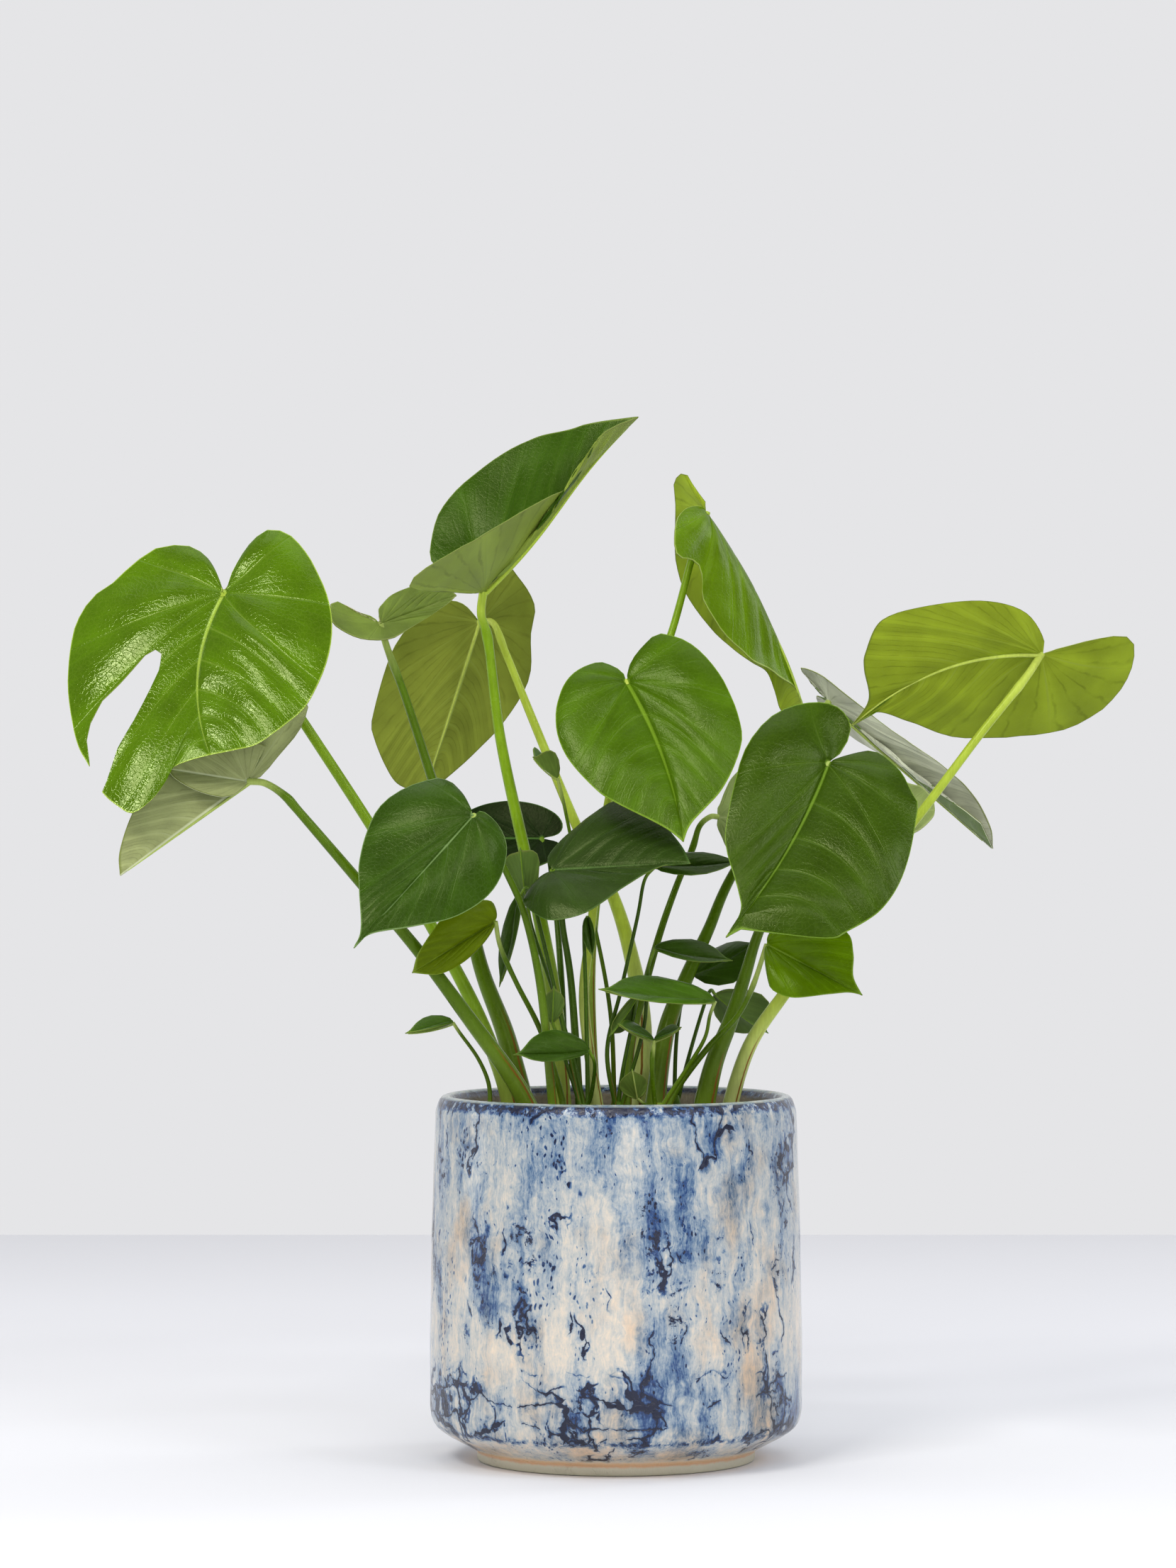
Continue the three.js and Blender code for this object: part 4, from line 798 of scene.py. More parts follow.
def blade_skin(name, above, below, veins, through, roughness, rib=1.9):
    """Living leaf: a waxy green skin that mirrors the soft lights above, a paler satin one below, pale
    midrib and side veins, many fine ones, a thin pale rim and a glow where light comes through."""
    material, tree = new_material("living leaf " + name)
    mark = add(tree, "SeparateXYZ", {0: (add(tree, "Attribute", attribute_name="blade"), "Vector")})
    span = (add(tree, "Attribute", attribute_name="span"), "Fac")
    at = add(tree, "TexCoord")
    place = add(tree, "VectorMath", {0: (at, "Object"), "Scale": 1000.0}, operation="SCALE")
    upper = add(tree, "Math", {0: (mark, 2), 1: 0.0}, operation="GREATER_THAN")
    flat = add(tree, "Math", {0: (mark, 2)}, operation="ABSOLUTE")
    edge = add(tree, "Math", {0: flat, 1: 0.985}, operation="LESS_THAN")
    # Main side veins some 20 mm apart and 1 mm wide, thinner to the rim; the midrib tapers to the tip.
    stray = add(tree, "TexNoise", {"Vector": place, "Scale": 1 / 9, "Detail": 2.0})
    count = add(tree, "Math", {0: stray, 1: 0.14, 2: (mark, 0)}, operation="MULTIPLY_ADD")
    off = add(tree, "Math", {0: (mark, 0), 1: 0.5}, operation="PINGPONG")
    width = add(tree, "MapRange", {0: (mark, 1), 1: 0.0, 2: 0.9, 3: 0.034, 4: 0.012})
    ratio = add(tree, "Math", {0: off, 1: width}, operation="DIVIDE")
    line = add(tree, "MapRange", {0: ratio, 1: 0.3, 2: 1.5, 3: 1.0, 4: 0.0},
               interpolation_type="SMOOTHSTEP")
    fade = add(tree, "MapRange", {0: (mark, 1), 1: 0.35, 2: 0.92, 3: 0.8, 4: 0.0})
    side_vein = add(tree, "Math", {0: line, 1: fade}, operation="MULTIPLY")
    half_rib = add(tree, "MapRange", {0: (mark, 0), 1: 0.0, 2: 5.0, 3: rib, 4: 0.35})
    across = add(tree, "Math", {0: span, 1: half_rib}, operation="DIVIDE")
    midrib = add(tree, "MapRange", {0: across, 1: 0.35, 2: 1.35, 3: 1.0, 4: 0.0},
                 interpolation_type="SMOOTHSTEP")
    # Four fine veins to each main one, 0.4 mm wide, and a net with meshes of about 2.5 mm.
    many = add(tree, "Math", {0: count, 1: 4.0}, operation="MULTIPLY")
    beside = add(tree, "Math", {0: many, 1: 0.5}, operation="PINGPONG")
    fine = add(tree, "MapRange", {0: beside, 1: 0.03, 2: 0.13, 3: 1.0, 4: 0.0},
               interpolation_type="SMOOTHSTEP")
    faint = add(tree, "MapRange", {0: stray, 1: 0.4, 2: 0.62, 3: 0.25, 4: 1.0})
    hair = add(tree, "Math", {0: fine, 1: faint}, operation="MULTIPLY")
    bend = add(tree, "TexNoise", {"Vector": place, "Scale": 1 / 4, "Detail": 2.0})
    bent = add(tree, "VectorMath", {0: (bend, "Color"), 1: (2.5, 2.5, 2.5), 2: place},
               operation="MULTIPLY_ADD")
    net = add(tree, "TexVoronoi", {"Vector": bent, "Scale": 1 / 2.6}, feature="DISTANCE_TO_EDGE")
    mesh = add(tree, "MapRange", {0: (net, "Distance"), 1: 0.0, 2: 0.12, 3: 1.0, 4: 0.0})
    # Tone: clouds of 20 mm, broad bands that follow the side veins, and paler flesh beside a vein.
    mottle = add(tree, "TexNoise", {"Vector": place, "Scale": 1 / 20, "Detail": 5.0})
    stripe = add(tree, "CombineXYZ", {0: (mark, 0), 1: (mark, 1), 2: roughness * 90})
    bands = add(tree, "TexNoise", {"Vector": stripe, "Scale": 1.7, "Detail": 3.0})
    tone = add(tree, "MapRange", {0: mottle, 1: 0.3, 2: 0.7, 3: 0.86, 4: 1.13})
    banded = add(tree, "MapRange", {0: bands, 1: 0.3, 2: 0.7, 3: 0.89, 4: 1.12})
    paler = add(tree, "MapRange", {0: off, 1: 0.0, 2: 0.3, 3: 1.16, 4: 0.97},
                interpolation_type="SMOOTHSTEP")
    light = add(tree, "Math", {0: tone, 1: paler}, operation="MULTIPLY")
    lit = add(tree, "Math", {0: light, 1: banded}, operation="MULTIPLY")
    face = add(tree, "Mix", {0: upper, 6: colour(below), 7: colour(above)}, data_type="RGBA")
    toned = add(tree, "VectorMath", {0: (face, 2), "Scale": lit}, operation="SCALE")
    netted = add(tree, "MapRange", {0: mesh, 3: 0.0, 4: 0.05})
    meshed = add(tree, "Mix", {0: netted, 6: toned, 7: colour(veins)}, data_type="RGBA")
    # Fine veins are dark lines below and slightly paler ones above.
    deep = add(tree, "MapRange", {0: upper, 3: 0.74, 4: 1.10})
    dark = add(tree, "VectorMath", {0: (meshed, 2), "Scale": deep}, operation="SCALE")
    lined = add(tree, "Mix", {0: hair, 6: (meshed, 2), 7: dark}, data_type="RGBA")
    vein_tone = add(tree, "MapRange", {0: upper, 3: 0.70, 4: 0.80})
    cord = add(tree, "Mix", {0: vein_tone, 6: colour(veins), 7: (face, 2)}, data_type="RGBA")
    sided = add(tree, "Mix", {0: side_vein, 6: (lined, 2), 7: (cord, 2)}, data_type="RGBA")
    # Above, the midrib sinks and greens over towards the tip; below, it stays pale.
    green = add(tree, "MapRange", {0: (mark, 0), 1: 0.0, 2: 5.0, 3: 0.0, 4: 0.6})
    greened = add(tree, "Math", {0: green, 1: upper}, operation="MULTIPLY")
    rib_tone = add(tree, "Mix", {0: greened, 6: colour(veins), 7: toned}, data_type="RGBA")
    veined = add(tree, "Mix", {0: midrib, 6: (sided, 2), 7: (rib_tone, 2)}, data_type="RGBA")
    # The rim: a line half a millimetre wide and the cut edge, pale above and olive below.
    share = add(tree, "Math", {0: span, 1: (mark, 1)}, operation="DIVIDE")
    rest = add(tree, "Math", {0: share, 1: span}, operation="SUBTRACT")
    hem = add(tree, "MapRange", {0: rest, 1: 0.25, 2: 0.75, 3: 0.75, 4: 0.0})
    far = add(tree, "Math", {0: (mark, 1), 1: 0.5}, operation="GREATER_THAN")
    hemmed = add(tree, "Math", {0: hem, 1: far}, operation="MULTIPLY")
    border = add(tree, "Math", {0: hemmed, 1: edge}, operation="MAXIMUM")
    hem_tone = add(tree, "Mix", {0: upper, 6: colour("#76803c"), 7: colour(veins)},
                   data_type="RGBA")
    rimmed = add(tree, "Mix", {0: border, 6: (veined, 2), 7: (hem_tone, 2)}, data_type="RGBA")
    # Skin: fine wrinkles of 2 mm; the net and the veins stand proud below and lie sunken above.
    grain = add(tree, "TexNoise", {"Vector": place, "Scale": 1 / 1.7, "Detail": 3.0})
    sunk = grain
    for part, weight in ((mesh, -0.3), (hair, -0.5), (line, -1.3)):
        sunk = add(tree, "Math", {0: part, 1: weight, 2: sunk}, operation="MULTIPLY_ADD")
    turn = add(tree, "MapRange", {0: upper, 3: -1.0, 4: 1.0})
    height = add(tree, "Math", {0: sunk, 1: turn}, operation="MULTIPLY")
    crisp = add(tree, "MapRange", {0: upper, 3: 0.2, 4: 0.6})
    bump = add(tree, "Bump", {"Strength": crisp, "Distance": 0.00016, "Height": height})
    patch = add(tree, "MapRange", {0: mottle, 1: 0.3, 2: 0.7, 3: roughness - 0.04,
                                   4: roughness + 0.05})
    matt = add(tree, "MapRange", {0: upper, 3: 0.2, 4: 0.0})
    rough = add(tree, "Math", {0: patch, 1: matt}, operation="ADD")
    shine = max(0.15, 0.62 - 1.3 * roughness)
    skin = add(tree, "BsdfPrincipled", {"Base Color": (rimmed, 2), "Roughness": rough, "IOR": 1.45,
                                        "Specular IOR Level": shine,
                                        "Specular Tint": colour("#e2f2b0"), "Normal": bump})
    sap = add(tree, "Mix", {0: 0.5, 6: (rimmed, 2), 7: colour("#a8c426")}, data_type="RGBA")
    glow = add(tree, "BsdfTranslucent", {"Color": (sap, 2), "Normal": bump})
    leaf = add(tree, "MixShader", {0: through, 1: skin, 2: glow})
    add(tree, "OutputMaterial", {"Surface": leaf})
    return material


for order, (name, upright) in enumerate(LEAVES):
    *look, finish = BLADE_LOOKS[name]
    leaf = leaned(upright)
    reach = (sighted(leaf["T"]) - sighted(leaf["J"])).length
    count = 6 if reach > LONG_BLADE else 5
    sheet, layer = sheet_mesh(*blade_sheet(leaf, HEART, lobe_rows=24, body_rows=8 * count, columns=22,
                                           veins=count))
    if name == "leaf_split":
        notched(sheet)
        sheet.normal_update()
    quilt = SPLIT_QUILT if name == "leaf_split" else QUILT
    relief(sheet, layer, 3.7 * order, min(1, reach / 100), count, quilt)
    short = name.replace("leaf_", "")
    skin = blade_skin(short, *look)
    blades = [blade_piece("blade_" + short, sheet, layer, skin, BLADE_THICKNESS)]
    if "fold" in leaf:
        lobe, layer = sheet_mesh(*blade_sheet(leaf["fold"], HEART, lobe_rows=8, body_rows=16,
                                              columns=12, veins=4))
        relief(lobe, layer, seed=1.3, size=0.4, count=4)
        blades.append(blade_piece("fold_" + short, lobe, layer, skin, BLADE_THICKNESS, (-1, 1)))
    for blade in blades:
        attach(blade, "root")
        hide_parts(name)


# ---------------------------------------------------------------------------------------------------
# Stalks. Each blade hangs from a long round green stalk that starts in the soil as a pale thick sheath,
# thins upwards and ends in a swollen knee under the blade, where it runs on as the raised midrib.

STALK_FOOT = 181
STALK_SIDES = 16
STALK_STEPS = 12
CHANNEL_DEPTH = 0.10
KNEE_AT = 26
KNEE_LENGTH = 5
KNEE_SWELL = 0.16
SHEATH_EDGE = 0.42

# The raised midrib below a blade starts with MIDRIB_SHARE of the stalk's upper radius and thins to
# MIDRIB_TIP, where it ends, at MIDRIB_END of its length.
MIDRIB_END = 0.94
MIDRIB_SHARE = 0.55
MIDRIB_TIP = 0.3

# Colours at the foot, along the stalk and above the knee, and the leaves whose stalk isn't deep green.
# The dark ones are painted shade, for stalks that stand in the shade deep inside the bunch.
STALK_LOOKS = {"pale": ("#d6de92", "#a6ba3c", "#b4c454"), "fresh": ("#b3c45c", "#769818", "#a2b93e"),
               "deep": ("#76922c", "#4b6808", "#a0b25c"), "dark": ("#4c6a14", "#34500a", "#62801f")}
STALK_KIND = {"leaf_split": "fresh", "leaf_top": "fresh", "leaf_top_right": "fresh",
              "leaf_back_big": "pale", "leaf_centre": "pale", "leaf_far_right": "pale",
              "leaf_dark_mid": "dark", "leaf_dark_back": "dark"}


def tube(path, radius_at, sides, steps):
    """Rings along a smooth path: points, faces and marks (mm along, share round, share along)."""
    centres = [Vector(along(path, i / steps)) for i in range(steps + 1)]
    u = Vector((0, 1, 0))
    points, faces, marks = [], [], []
    gone = 0
    for i, centre in enumerate(centres):
        ahead = centres[min(steps, i + 1)] - centres[max(0, i - 1)]
        ahead.normalize()
        u = (u - ahead * ahead.dot(u)).normalized()
        w = ahead.cross(u)
        gone += (centre - centres[i - 1]).length if i else 0
        for k in range(sides):
            angle = 2 * math.pi * k / sides
            radius = radius_at(i / steps, gone, angle)
            points.append(centre + u * (radius * math.cos(angle)) + w * (radius * math.sin(angle)))
            marks.append((gone, k / sides, i / steps))
    for i in range(steps):
        for k in range(sides):
            a, b = i * sides + k, i * sides + (k + 1) % sides
            faces.append([a, a + sides, b + sides, b])
    faces.append(list(range(sides)))
    faces.append([steps * sides + k for k in reversed(range(sides))])
    return points, faces, marks


def stalk_tube(leaf, foot, top, sides):
    """The stalk from the blade into the soil, with its knee and the channel along its upper side."""
    path = [sighted(p) for p in [leaf["J"], *leaf["stem"]]]
    x, y = leaf["stem"][-1][:2]
    path.append(sighted((x, y, STALK_FOOT)))

    def radius(f, gone, angle):
        knee = 1 + KNEE_SWELL * math.exp(-((gone - KNEE_AT) / KNEE_LENGTH) ** 2)
        channel = 1 - CHANNEL_DEPTH * f * max(0, math.cos(angle)) ** 3
        return (top + (foot - top) * f * f) * knee * channel

    return tube(path, radius, sides, STALK_STEPS * len(path))


def midrib_tube(leaf, top, sides):
    """The raised midrib below the blade, from the stalk's end nearly to the tip."""
    end, midrib, _, _, up, across = blade_frame(leaf)
    sway, arch, curl = (leaf.get(key, 0) for key in ("sway", "arch", "curl"))
    path, start = [], MIDRIB_SHARE * top
    for i in range(9):
        s = MIDRIB_END * i / 8
        bow = 4 * s * (1 - s)
        sunk = 0.45 + (start + 0.25) * (1 - s)
        turn = curl * math.sin(2 * math.pi * s)
        path.append(end + midrib * s + across * (sway * bow + turn) + up * (arch * bow - sunk))
    points, faces, marks = tube(path, lambda f, *_: MIDRIB_TIP + (start - MIDRIB_TIP) * (1 - f),
                                sides, 24)
    return points, faces, [(gone, share, 0.0) for gone, share, _ in marks]


def joined(*parts):
    """Several tubes as one: their points, faces and marks."""
    points, faces, marks = [], [], []
    for p, f, m in parts:
        start = len(points)
        points += p
        faces += [[i + start for i in face] for face in f]
        marks += m
    return points, faces, marks


def stalk_skin(name, foot, middle, top):
    """Leaf stalk: smooth, a little waxy, with fine lengthwise streaks and pale flecks; paler where it
    is thick and young."""
    material, tree = new_material("living stalk " + name)
    mark = add(tree, "SeparateXYZ", {0: (add(tree, "Attribute", attribute_name="stalk"), "Vector")})
    at = add(tree, "TexCoord")
    place = add(tree, "VectorMath", {0: (at, "Object"), "Scale": 1000.0}, operation="SCALE")
    long = add(tree, "VectorMath", {0: place, 1: (1.0, 1.0, 0.12)}, operation="MULTIPLY")
    streak = add(tree, "TexNoise", {"Vector": long, "Scale": 1 / 1.1, "Detail": 4.0})
    fleck = add(tree, "TexNoise", {"Vector": place, "Scale": 1 / 0.8, "Detail": 3.0})
    blotch = add(tree, "TexNoise", {"Vector": place, "Scale": 1 / 16, "Detail": 3.0})
    green = add(tree, "ValToRGB", {0: (mark, 2)}, stops=[(0.0, top), (0.10, top), (0.22, middle),
                                                         (0.62, middle), (0.92, foot), (1.0, foot)])
    tone = add(tree, "MapRange", {0: streak, 1: 0.3, 2: 0.7, 3: 0.90, 4: 1.09})
    wide = add(tree, "MapRange", {0: blotch, 1: 0.3, 2: 0.7, 3: 0.88, 4: 1.10})
    light = add(tree, "Math", {0: tone, 1: wide}, operation="MULTIPLY")
    toned = add(tree, "VectorMath", {0: green, "Scale": light}, operation="SCALE")
    spots = add(tree, "MapRange", {0: fleck, 1: 0.62, 2: 0.72, 4: 0.12})
    flecked = add(tree, "Mix", {0: spots, 6: toned, 7: colour("#b9c58a")}, data_type="RGBA")
    # The papery margin of the sheath: a brown line up one side of the lowest third.
    side = add(tree, "Math", {0: (mark, 1), 1: SHEATH_EDGE}, operation="SUBTRACT")
    strayed = add(tree, "Math", {0: blotch, 1: 0.06, 2: side}, operation="MULTIPLY_ADD")
    beside = add(tree, "Math", {0: strayed, 1: 0.0}, operation="ABSOLUTE")
    seam = add(tree, "MapRange", {0: beside, 1: 0.012, 2: 0.024, 3: 1.0, 4: 0.0})
    low = add(tree, "MapRange", {0: (mark, 2), 1: 0.70, 2: 0.76})
    papery = add(tree, "Math", {0: seam, 1: low}, operation="MULTIPLY")
    edged = add(tree, "Mix", {0: papery, 6: (flecked, 2), 7: colour("#8a5a24")}, data_type="RGBA")
    bump = add(tree, "Bump", {"Strength": 0.4, "Distance": 0.00012, "Height": streak})
    rough = add(tree, "MapRange", {0: blotch, 1: 0.3, 2: 0.7, 3: 0.22, 4: 0.32})
    shader = add(tree, "BsdfPrincipled", {"Base Color": (edged, 2), "Roughness": rough,
                                          "IOR": 1.45, "Specular IOR Level": 0.35,
                                          "Specular Tint": colour("#e2f2b0"), "Normal": bump})
    add(tree, "OutputMaterial", {"Surface": shader})
    return material


def stalk_piece(name, parts, material):
    """A piece of joined tubes that carries their marks."""
    points, faces, marks = joined(*parts)
    piece = new_piece(name, points, faces, [material], smooth=70)
    attribute = piece.data.attributes.new("stalk", "FLOAT_VECTOR", "POINT")
    attribute.data.foreach_set("vector", [c for mark in marks for c in mark])
    return piece


stalk_skins = {kind: stalk_skin(kind, *greens) for kind, greens in STALK_LOOKS.items()}
for name, upright in LEAVES:
    leaf = leaned(upright)
    foot, top = leaf["r"]
    parts = [stalk_tube(leaf, foot, top, STALK_SIDES), midrib_tube(leaf, top, sides=10)]
    kind = STALK_KIND.get(name, "deep")
    stalk = stalk_piece(name.replace("leaf_", "stalk_"), parts, stalk_skins[kind])
    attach(stalk, "root")
    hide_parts(name)


# ---------------------------------------------------------------------------------------------------
# Shoots. Small young leaves low in the pot, on thin stalks that come out of the soil in tufts; each
# tuft shares one crown. Their blades are oval and thinner than the large ones; the tufts deep in the
# shade get a darker copy of the skin, which is painted shade.

SHOOT_THICKNESS = 0.6
SHOOT_STALK_TOP = 1.0
SHOOT_STALK_WIDENING = 0.7
SHOOT_RIB = 0.9
CROWN_LEVELS = (STALK_FOOT, 190, 197, 203)
CROWN_TAPER = 0.45
CROWN_LOBES = 0.15

# Half outline of a small blade, and how far it is cupped, as a share of its length.
OVAL = [(-0.01, 0.04), (-0.03, 0.20), (0.00, 0.50), (0.10, 0.82), (0.28, 1.0), (0.46, 0.91),
        (0.64, 0.64), (0.78, 0.34), (0.88, 0.13), (0.95, 0.04), (1.0, 0.0)]
CUPPED = 0.05

# Small leaves as above, and the foot that they share: x, y and radius.
SHOOTS = [
  ["shoots_right", [
    {"J": [56, -48, 258], "T": [-10, -56, 265], "A": [24, -36, 272], "B": [26, -66, 257],
      "stem": [[53, -46, 250], [50, -42, 237], [40, -37, 220], [27, -34, 200]]},
    {"J": [21.5, -38, 236], "T": [1, -46, 245.5], "A": [10, -32, 246], "B": [12, -48, 239],
      "stem": [[20, -37, 224], [22, -35, 200]]},
    {"J": [21.5, -38, 236], "T": [37, -44, 243.5], "A": [29, -32, 244], "B": [30, -46, 239],
      "stem": [[21, -37, 220], [22, -35, 200]]},
    {"J": [12, -42, 203], "T": [9, -50, 220], "A": [2, -45, 209], "B": [18, -44, 211],
      "stem": [[17, -38, 199], [22, -35, 196]]}], [24, -34, 3.6]],
  ["shoots_mid", [
    {"J": [22, -24, 334], "T": [72, -14, 337], "A": [40, -10, 342], "B": [42, -32, 329],
      "stem": [[16, -24, 326], [12, -25, 305], [3, -26, 265], [-5, -27, 230], [0, -26, 198]]},
    {"J": [22, -30, 288], "T": [66, -24, 281], "A": [42, -16, 293], "B": [40, -38, 281],
      "stem": [[18, -28, 275], [16, -27, 245], [8, -26, 215], [3, -26, 198]]},
    {"J": [12, -28, 262], "T": [-4, -36, 238], "A": [9, -26, 246], "B": [1, -34, 251],
      "stem": [[10, -28, 250], [4, -26, 220], [1, -26, 198]]}], [1, -26, 3.4]],
  ["shoots_front", [
    {"J": [-15, -62, 230], "T": [-58, -74, 228], "A": [-34, -60, 242], "B": [-34, -74, 224],
      "stem": [[-12, -58, 222], [-14, -50, 205], [-17, -48, 198]]},
    {"J": [-54, -32, 318], "T": [-66, -24, 266], "A": [-64, -22, 298], "B": [-56, -33, 296],
      "stem": [[-50, -36, 322], [-46, -37, 312], [-34, -40, 262], [-21, -46, 204]]},
    {"J": [-50, -26, 312], "T": [-54, -34, 345], "A": [-63, -24, 332], "B": [-43, -30, 336],
      "stem": [[-46, -30, 295], [-31, -39, 250], [-18, -47, 200]]},
    {"J": [-36, -43, 246], "T": [-35, -46, 267], "A": [-42, -43, 255], "B": [-29, -43, 256],
      "stem": [[-32, -43, 235], [-22, -46, 205]]},
    {"J": [-16, -42, 306], "T": [-13, -50, 282], "A": [-19, -46, 296], "B": [-12, -48, 297],
      "stem": [[-18, -41, 298], [-17, -43, 260], [-16, -48, 200]]}], [-18, -48, 3.6]],
  ["shoot_left", [
    {"J": [-92, -26, 246], "T": [-119, -34, 240], "A": [-104, -20, 250], "B": [-103, -36, 243],
      "stem": [[-88, -24, 240], [-78, -22, 226], [-72, -21, 212], [-71, -22, 198]]}],
    [-71, -22, 1.8]],
  ["shoots_back", [
    {"J": [44, 40, 273], "T": [80, 32, 292], "A": [56, 52, 288], "B": [66, 30, 268],
      "stem": [[38, 40, 262], [34, 36, 235], [33, 32, 198]]},
    {"J": [56, 66, 262], "T": [86, 92, 240], "A": [82, 74, 262], "B": [60, 88, 244],
      "stem": [[52, 60, 262], [42, 42, 230], [34, 32, 198]]}], [34, 32, 3.6]],
  ["shoot_inner", [
    {"J": [-33, 6, 384], "T": [-47, 0, 396], "A": [-44, 12, 400], "B": [-34, -4, 398],
      "stem": [[-30, 7, 372], [-23, 6, 340], [-12, 8, 300], [-3, 14, 250], [-1, 22, 198]]}],
    [-1, 22, 2.4]],
]

# The tufts inside the bunch wear the darker shaded skin, which is painted shade; the others the young
# one.
SHOOT_LOOKS = {"shoots_right": "leaf_mid", "shoots_mid": "leaf_dark", "shoots_front": "leaf_dark",
               "shoot_left": "leaf_mid", "shoots_back": "leaf_dark", "shoot_inner": "leaf_mid"}
shoot_skins = {"leaf_mid": blade_skin("young", "#436812", "#667f34", "#7a9a3c", 0.14, 0.28, 0.7),
               "leaf_dark": blade_skin("shaded", "#304c0c", "#526b2c", "#5c7c30", 0.10, 0.28, 0.7)}


def crown(x, y, radius):
    """The short swollen base of a tuft, from below the soil to just above it."""
    def size(f, gone, angle):
        taper = 1 - CROWN_TAPER * max(0, (f - 0.6) / 0.4)
        return radius * taper + CROWN_LOBES * math.sin(3 * angle)
    return tube([(x, y, z) for z in CROWN_LEVELS], size, sides=14, steps=12)


for order, (name, leaflets, (x, y, radius)) in enumerate(SHOOTS):
    finish = SHOOT_LOOKS[name]
    parts = [crown(x, y, radius)]
    for number, leaf in enumerate(leaflets):
        reach = (sighted(leaf["T"]) - sighted(leaf["J"])).length
        leaf = {"arch": -CUPPED * reach, "bulge": CUPPED * reach, **leaf}
        sheet, layer = sheet_mesh(*blade_sheet(leaf, OVAL, lobe_rows=5, body_rows=20, columns=8,
                                               veins=5))
        relief(sheet, layer, 1.9 * order + number, reach / 130, 5)
        blade = blade_piece(f"{name}_blade_{number + 1}", sheet, layer, shoot_skins[finish],
                            SHOOT_THICKNESS)
        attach(blade, "root")
        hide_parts(name)
        path = [sighted(p) for p in [leaf["J"], *leaf["stem"], [x, y, CROWN_LEVELS[1]]]]
        parts.append(tube(path, lambda f, *_: SHOOT_STALK_TOP + SHOOT_STALK_WIDENING * f * f,
                          sides=10, steps=8 * len(path)))
        parts.append(midrib_tube(leaf, SHOOT_RIB, sides=8))
    # Stalks of the shaded tufts take the dark skin, which is painted shade.
    kind = "dark" if finish == "leaf_dark" else "deep"
    stalks = stalk_piece(name + "_stalks", parts, stalk_skins[kind])
    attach(stalks, "root")
    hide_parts(name)


# ---------------------------------------------------------------------------------------------------
# Studio. A pale painted floor that ends 1.46 m behind the pot, in a white room that is the world's own
# light, with soft lights in front, above and at both sides. The camera stands at the photograph's
# place, 2.94 m in front of the pot's axis and level with the leaves.

FLOOR_REACH = 5000
FLOOR_END = 1458
FLOOR_CUTS = 8
CAMERA_LENS = 119.62
ROOM_LIGHT = 0.5


def floor_paint():
    """Matt paint: an even pale grey with a faint roller texture of 3 mm."""
    material, tree = new_material("painted floor")
    at = add(tree, "TexCoord")
    place = add(tree, "VectorMath", {0: (at, "Object"), "Scale": 1000.0}, operation="SCALE")
    roller = add(tree, "TexNoise", {"Vector": place, "Scale": 1 / 3, "Detail": 3.0})
    cloud = add(tree, "TexNoise", {"Vector": place, "Scale": 1 / 400, "Detail": 2.0})
    tone = add(tree, "MapRange", {0: cloud, 3: 0.99, 4: 1.01})
    paint = add(tree, "VectorMath", {0: colour("#eaebf0")[:3], "Scale": tone}, operation="SCALE")
    bump = add(tree, "Bump", {"Strength": 0.1, "Distance": 0.0002, "Height": roller})
    shader = add(tree, "BsdfPrincipled", {"Base Color": paint, "Roughness": 0.9,
                                          "Specular IOR Level": 0.2, "Normal": bump})
    add(tree, "OutputMaterial", {"Surface": shader})
    return material


rows = FLOOR_CUTS + 1
floor_points = [(FLOOR_REACH * (2 * i / FLOOR_CUTS - 1),
                 -FLOOR_REACH + (FLOOR_REACH + FLOOR_END) * j / FLOOR_CUTS, 0)
                for j in range(rows) for i in range(rows)]
floor_faces = [[j * rows + i, j * rows + i + 1, (j + 1) * rows + i + 1, (j + 1) * rows + i]
               for j in range(FLOOR_CUTS) for i in range(FLOOR_CUTS)]
floor = new_piece("studio_floor", floor_points, floor_faces, [floor_paint()])

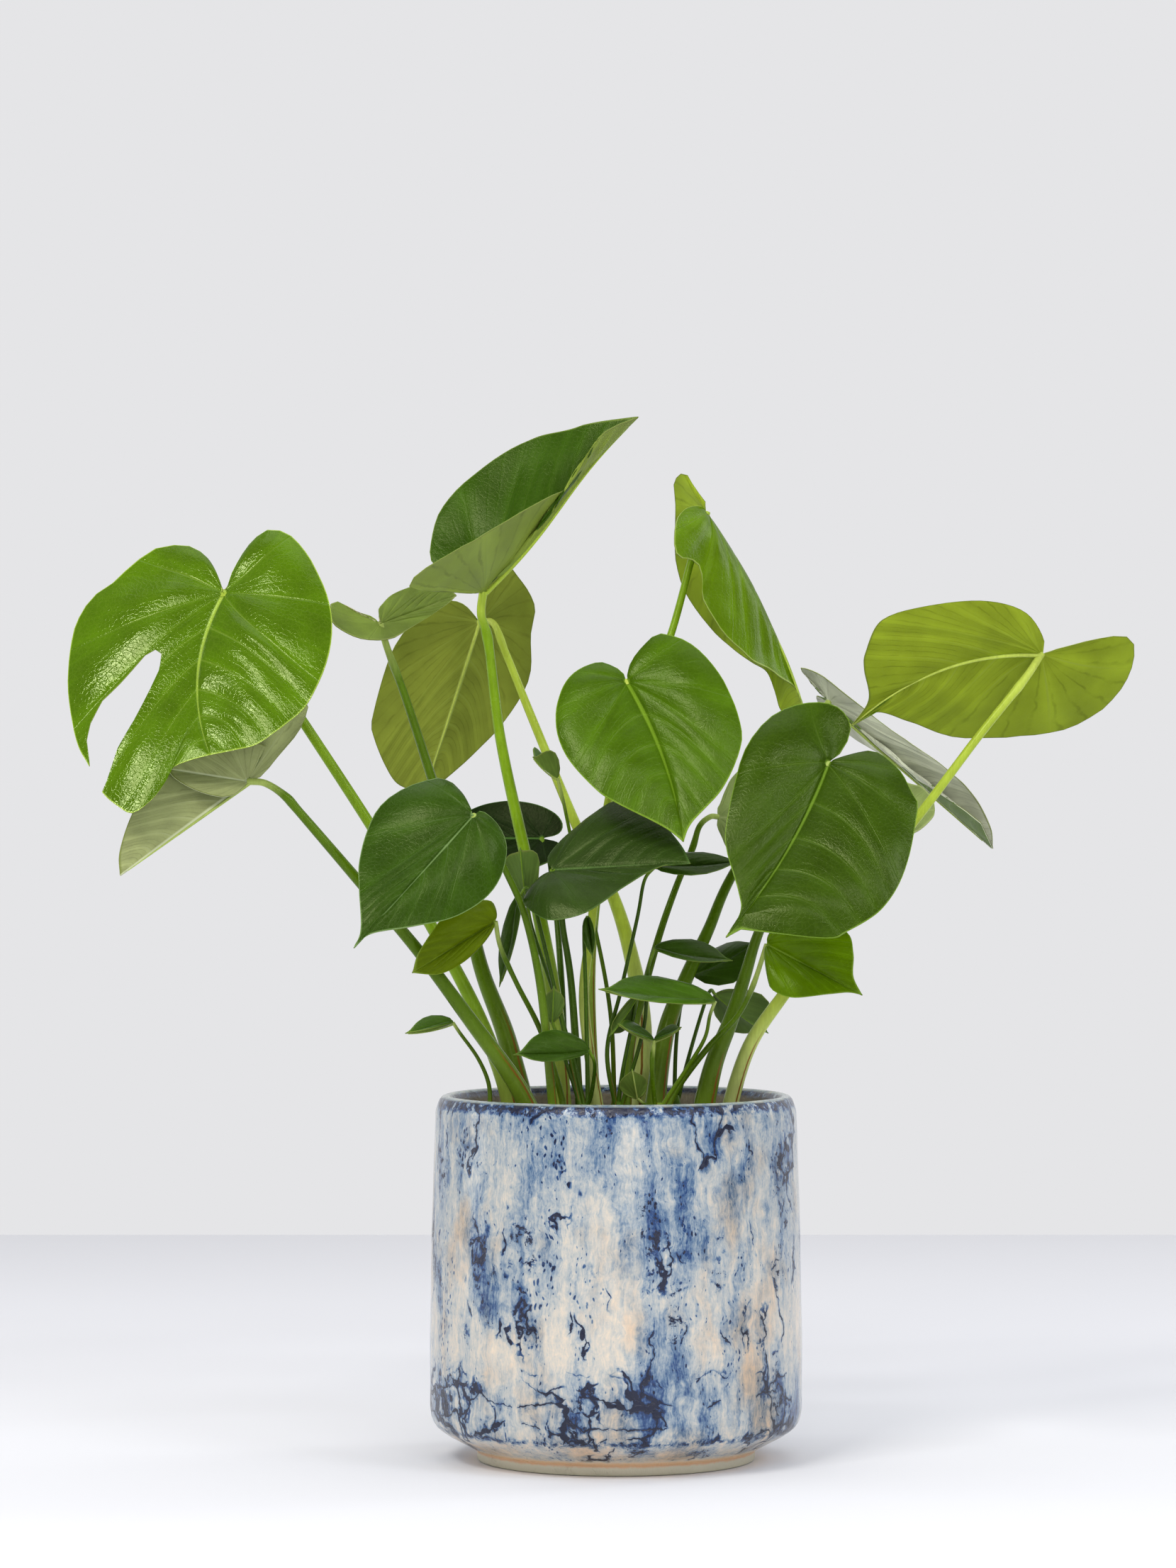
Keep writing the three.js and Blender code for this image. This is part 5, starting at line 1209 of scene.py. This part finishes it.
# Each light's place and aim, its width and height, all in metres, its watts and its colour.
LIGHTS = [("key_light", (-0.98, -2.1, 2.1), (0, 0, 0.35), 0.7, 0.85, 26, "#fffaf2"),
          ("fill_light", (1.8, -1.6, 1.9), (0, 0, 0.3), 0.9, 0.9, 16, "#f6f9ff"),
          ("front_light", (0.7, -2.9, 0.7), (0, 0, 0.2), 1.4, 1.0, 8, "#ffffff"),
          ("bar_light", (0.5, -2.3, 2.3), (0, 0, 0.2), 1.5, 0.10, 13, "#ffffff"),
          ("left_strip", (-1.7, 0.25, 0.7), (0, 0, 0.15), 0.5, 1.5, 4, "#ffffff"),
          ("right_strip", (1.7, 0.8, 1.3), (0, 0, 0.4), 0.5, 1.3, 6, "#ffffff"),
          ("left_light", (-1.45, -1.75, 2.5), (-0.1, 0, 0.4), 0.4, 0.4, 15, "#fffdf8"),
          ("top_light", (0.1, 0.2, 3.0), (0, -0.2, 0), 2.4, 2.0, 18, "#ffffff")]
for name, place, aim, width, height, watts, code in LIGHTS:
    lamp = bpy.data.lights.new(name, "AREA")
    lamp.shape = "RECTANGLE"
    lamp.size, lamp.size_y = width, height
    lamp.energy = watts
    lamp.color = colour(code)[:3]
    light = bpy.data.objects.new(name, lamp)
    light.location = place
    light.rotation_euler = (Vector(aim) - Vector(place)).to_track_quat("-Z", "Y").to_euler()
    bpy.context.scene.collection.objects.link(light)

# The room: white, and softly dimmer round to the camera's side.
world = bpy.data.worlds.new("studio room")
world.use_nodes = True
air = world.node_tree
air.nodes.clear()
way = add(air, "SeparateXYZ", {0: (add(air, "TexCoord"), "Generated")})
white = add(air, "MapRange", {0: (way, 1), 1: 0.1, 2: 0.9, 3: ROOM_LIGHT, 4: 1.0},
            interpolation_type="SMOOTHSTEP")
glow = add(air, "Background", {"Color": colour("#e5e5e7"), "Strength": white})
add(air, "OutputWorld", {"Surface": glow})
bpy.context.scene.world = world
bpy.context.scene.view_settings.view_transform = "Standard"

camera_data = bpy.data.cameras.new("camera")
camera_data.sensor_fit = "VERTICAL"
camera_data.sensor_height = 36
camera_data.lens = CAMERA_LENS
camera = bpy.data.objects.new("camera", camera_data)
camera.location = EYE * 0.001
camera.rotation_euler = (math.radians(90), 0, 0)
bpy.context.scene.collection.objects.link(camera)
bpy.context.scene.camera = camera
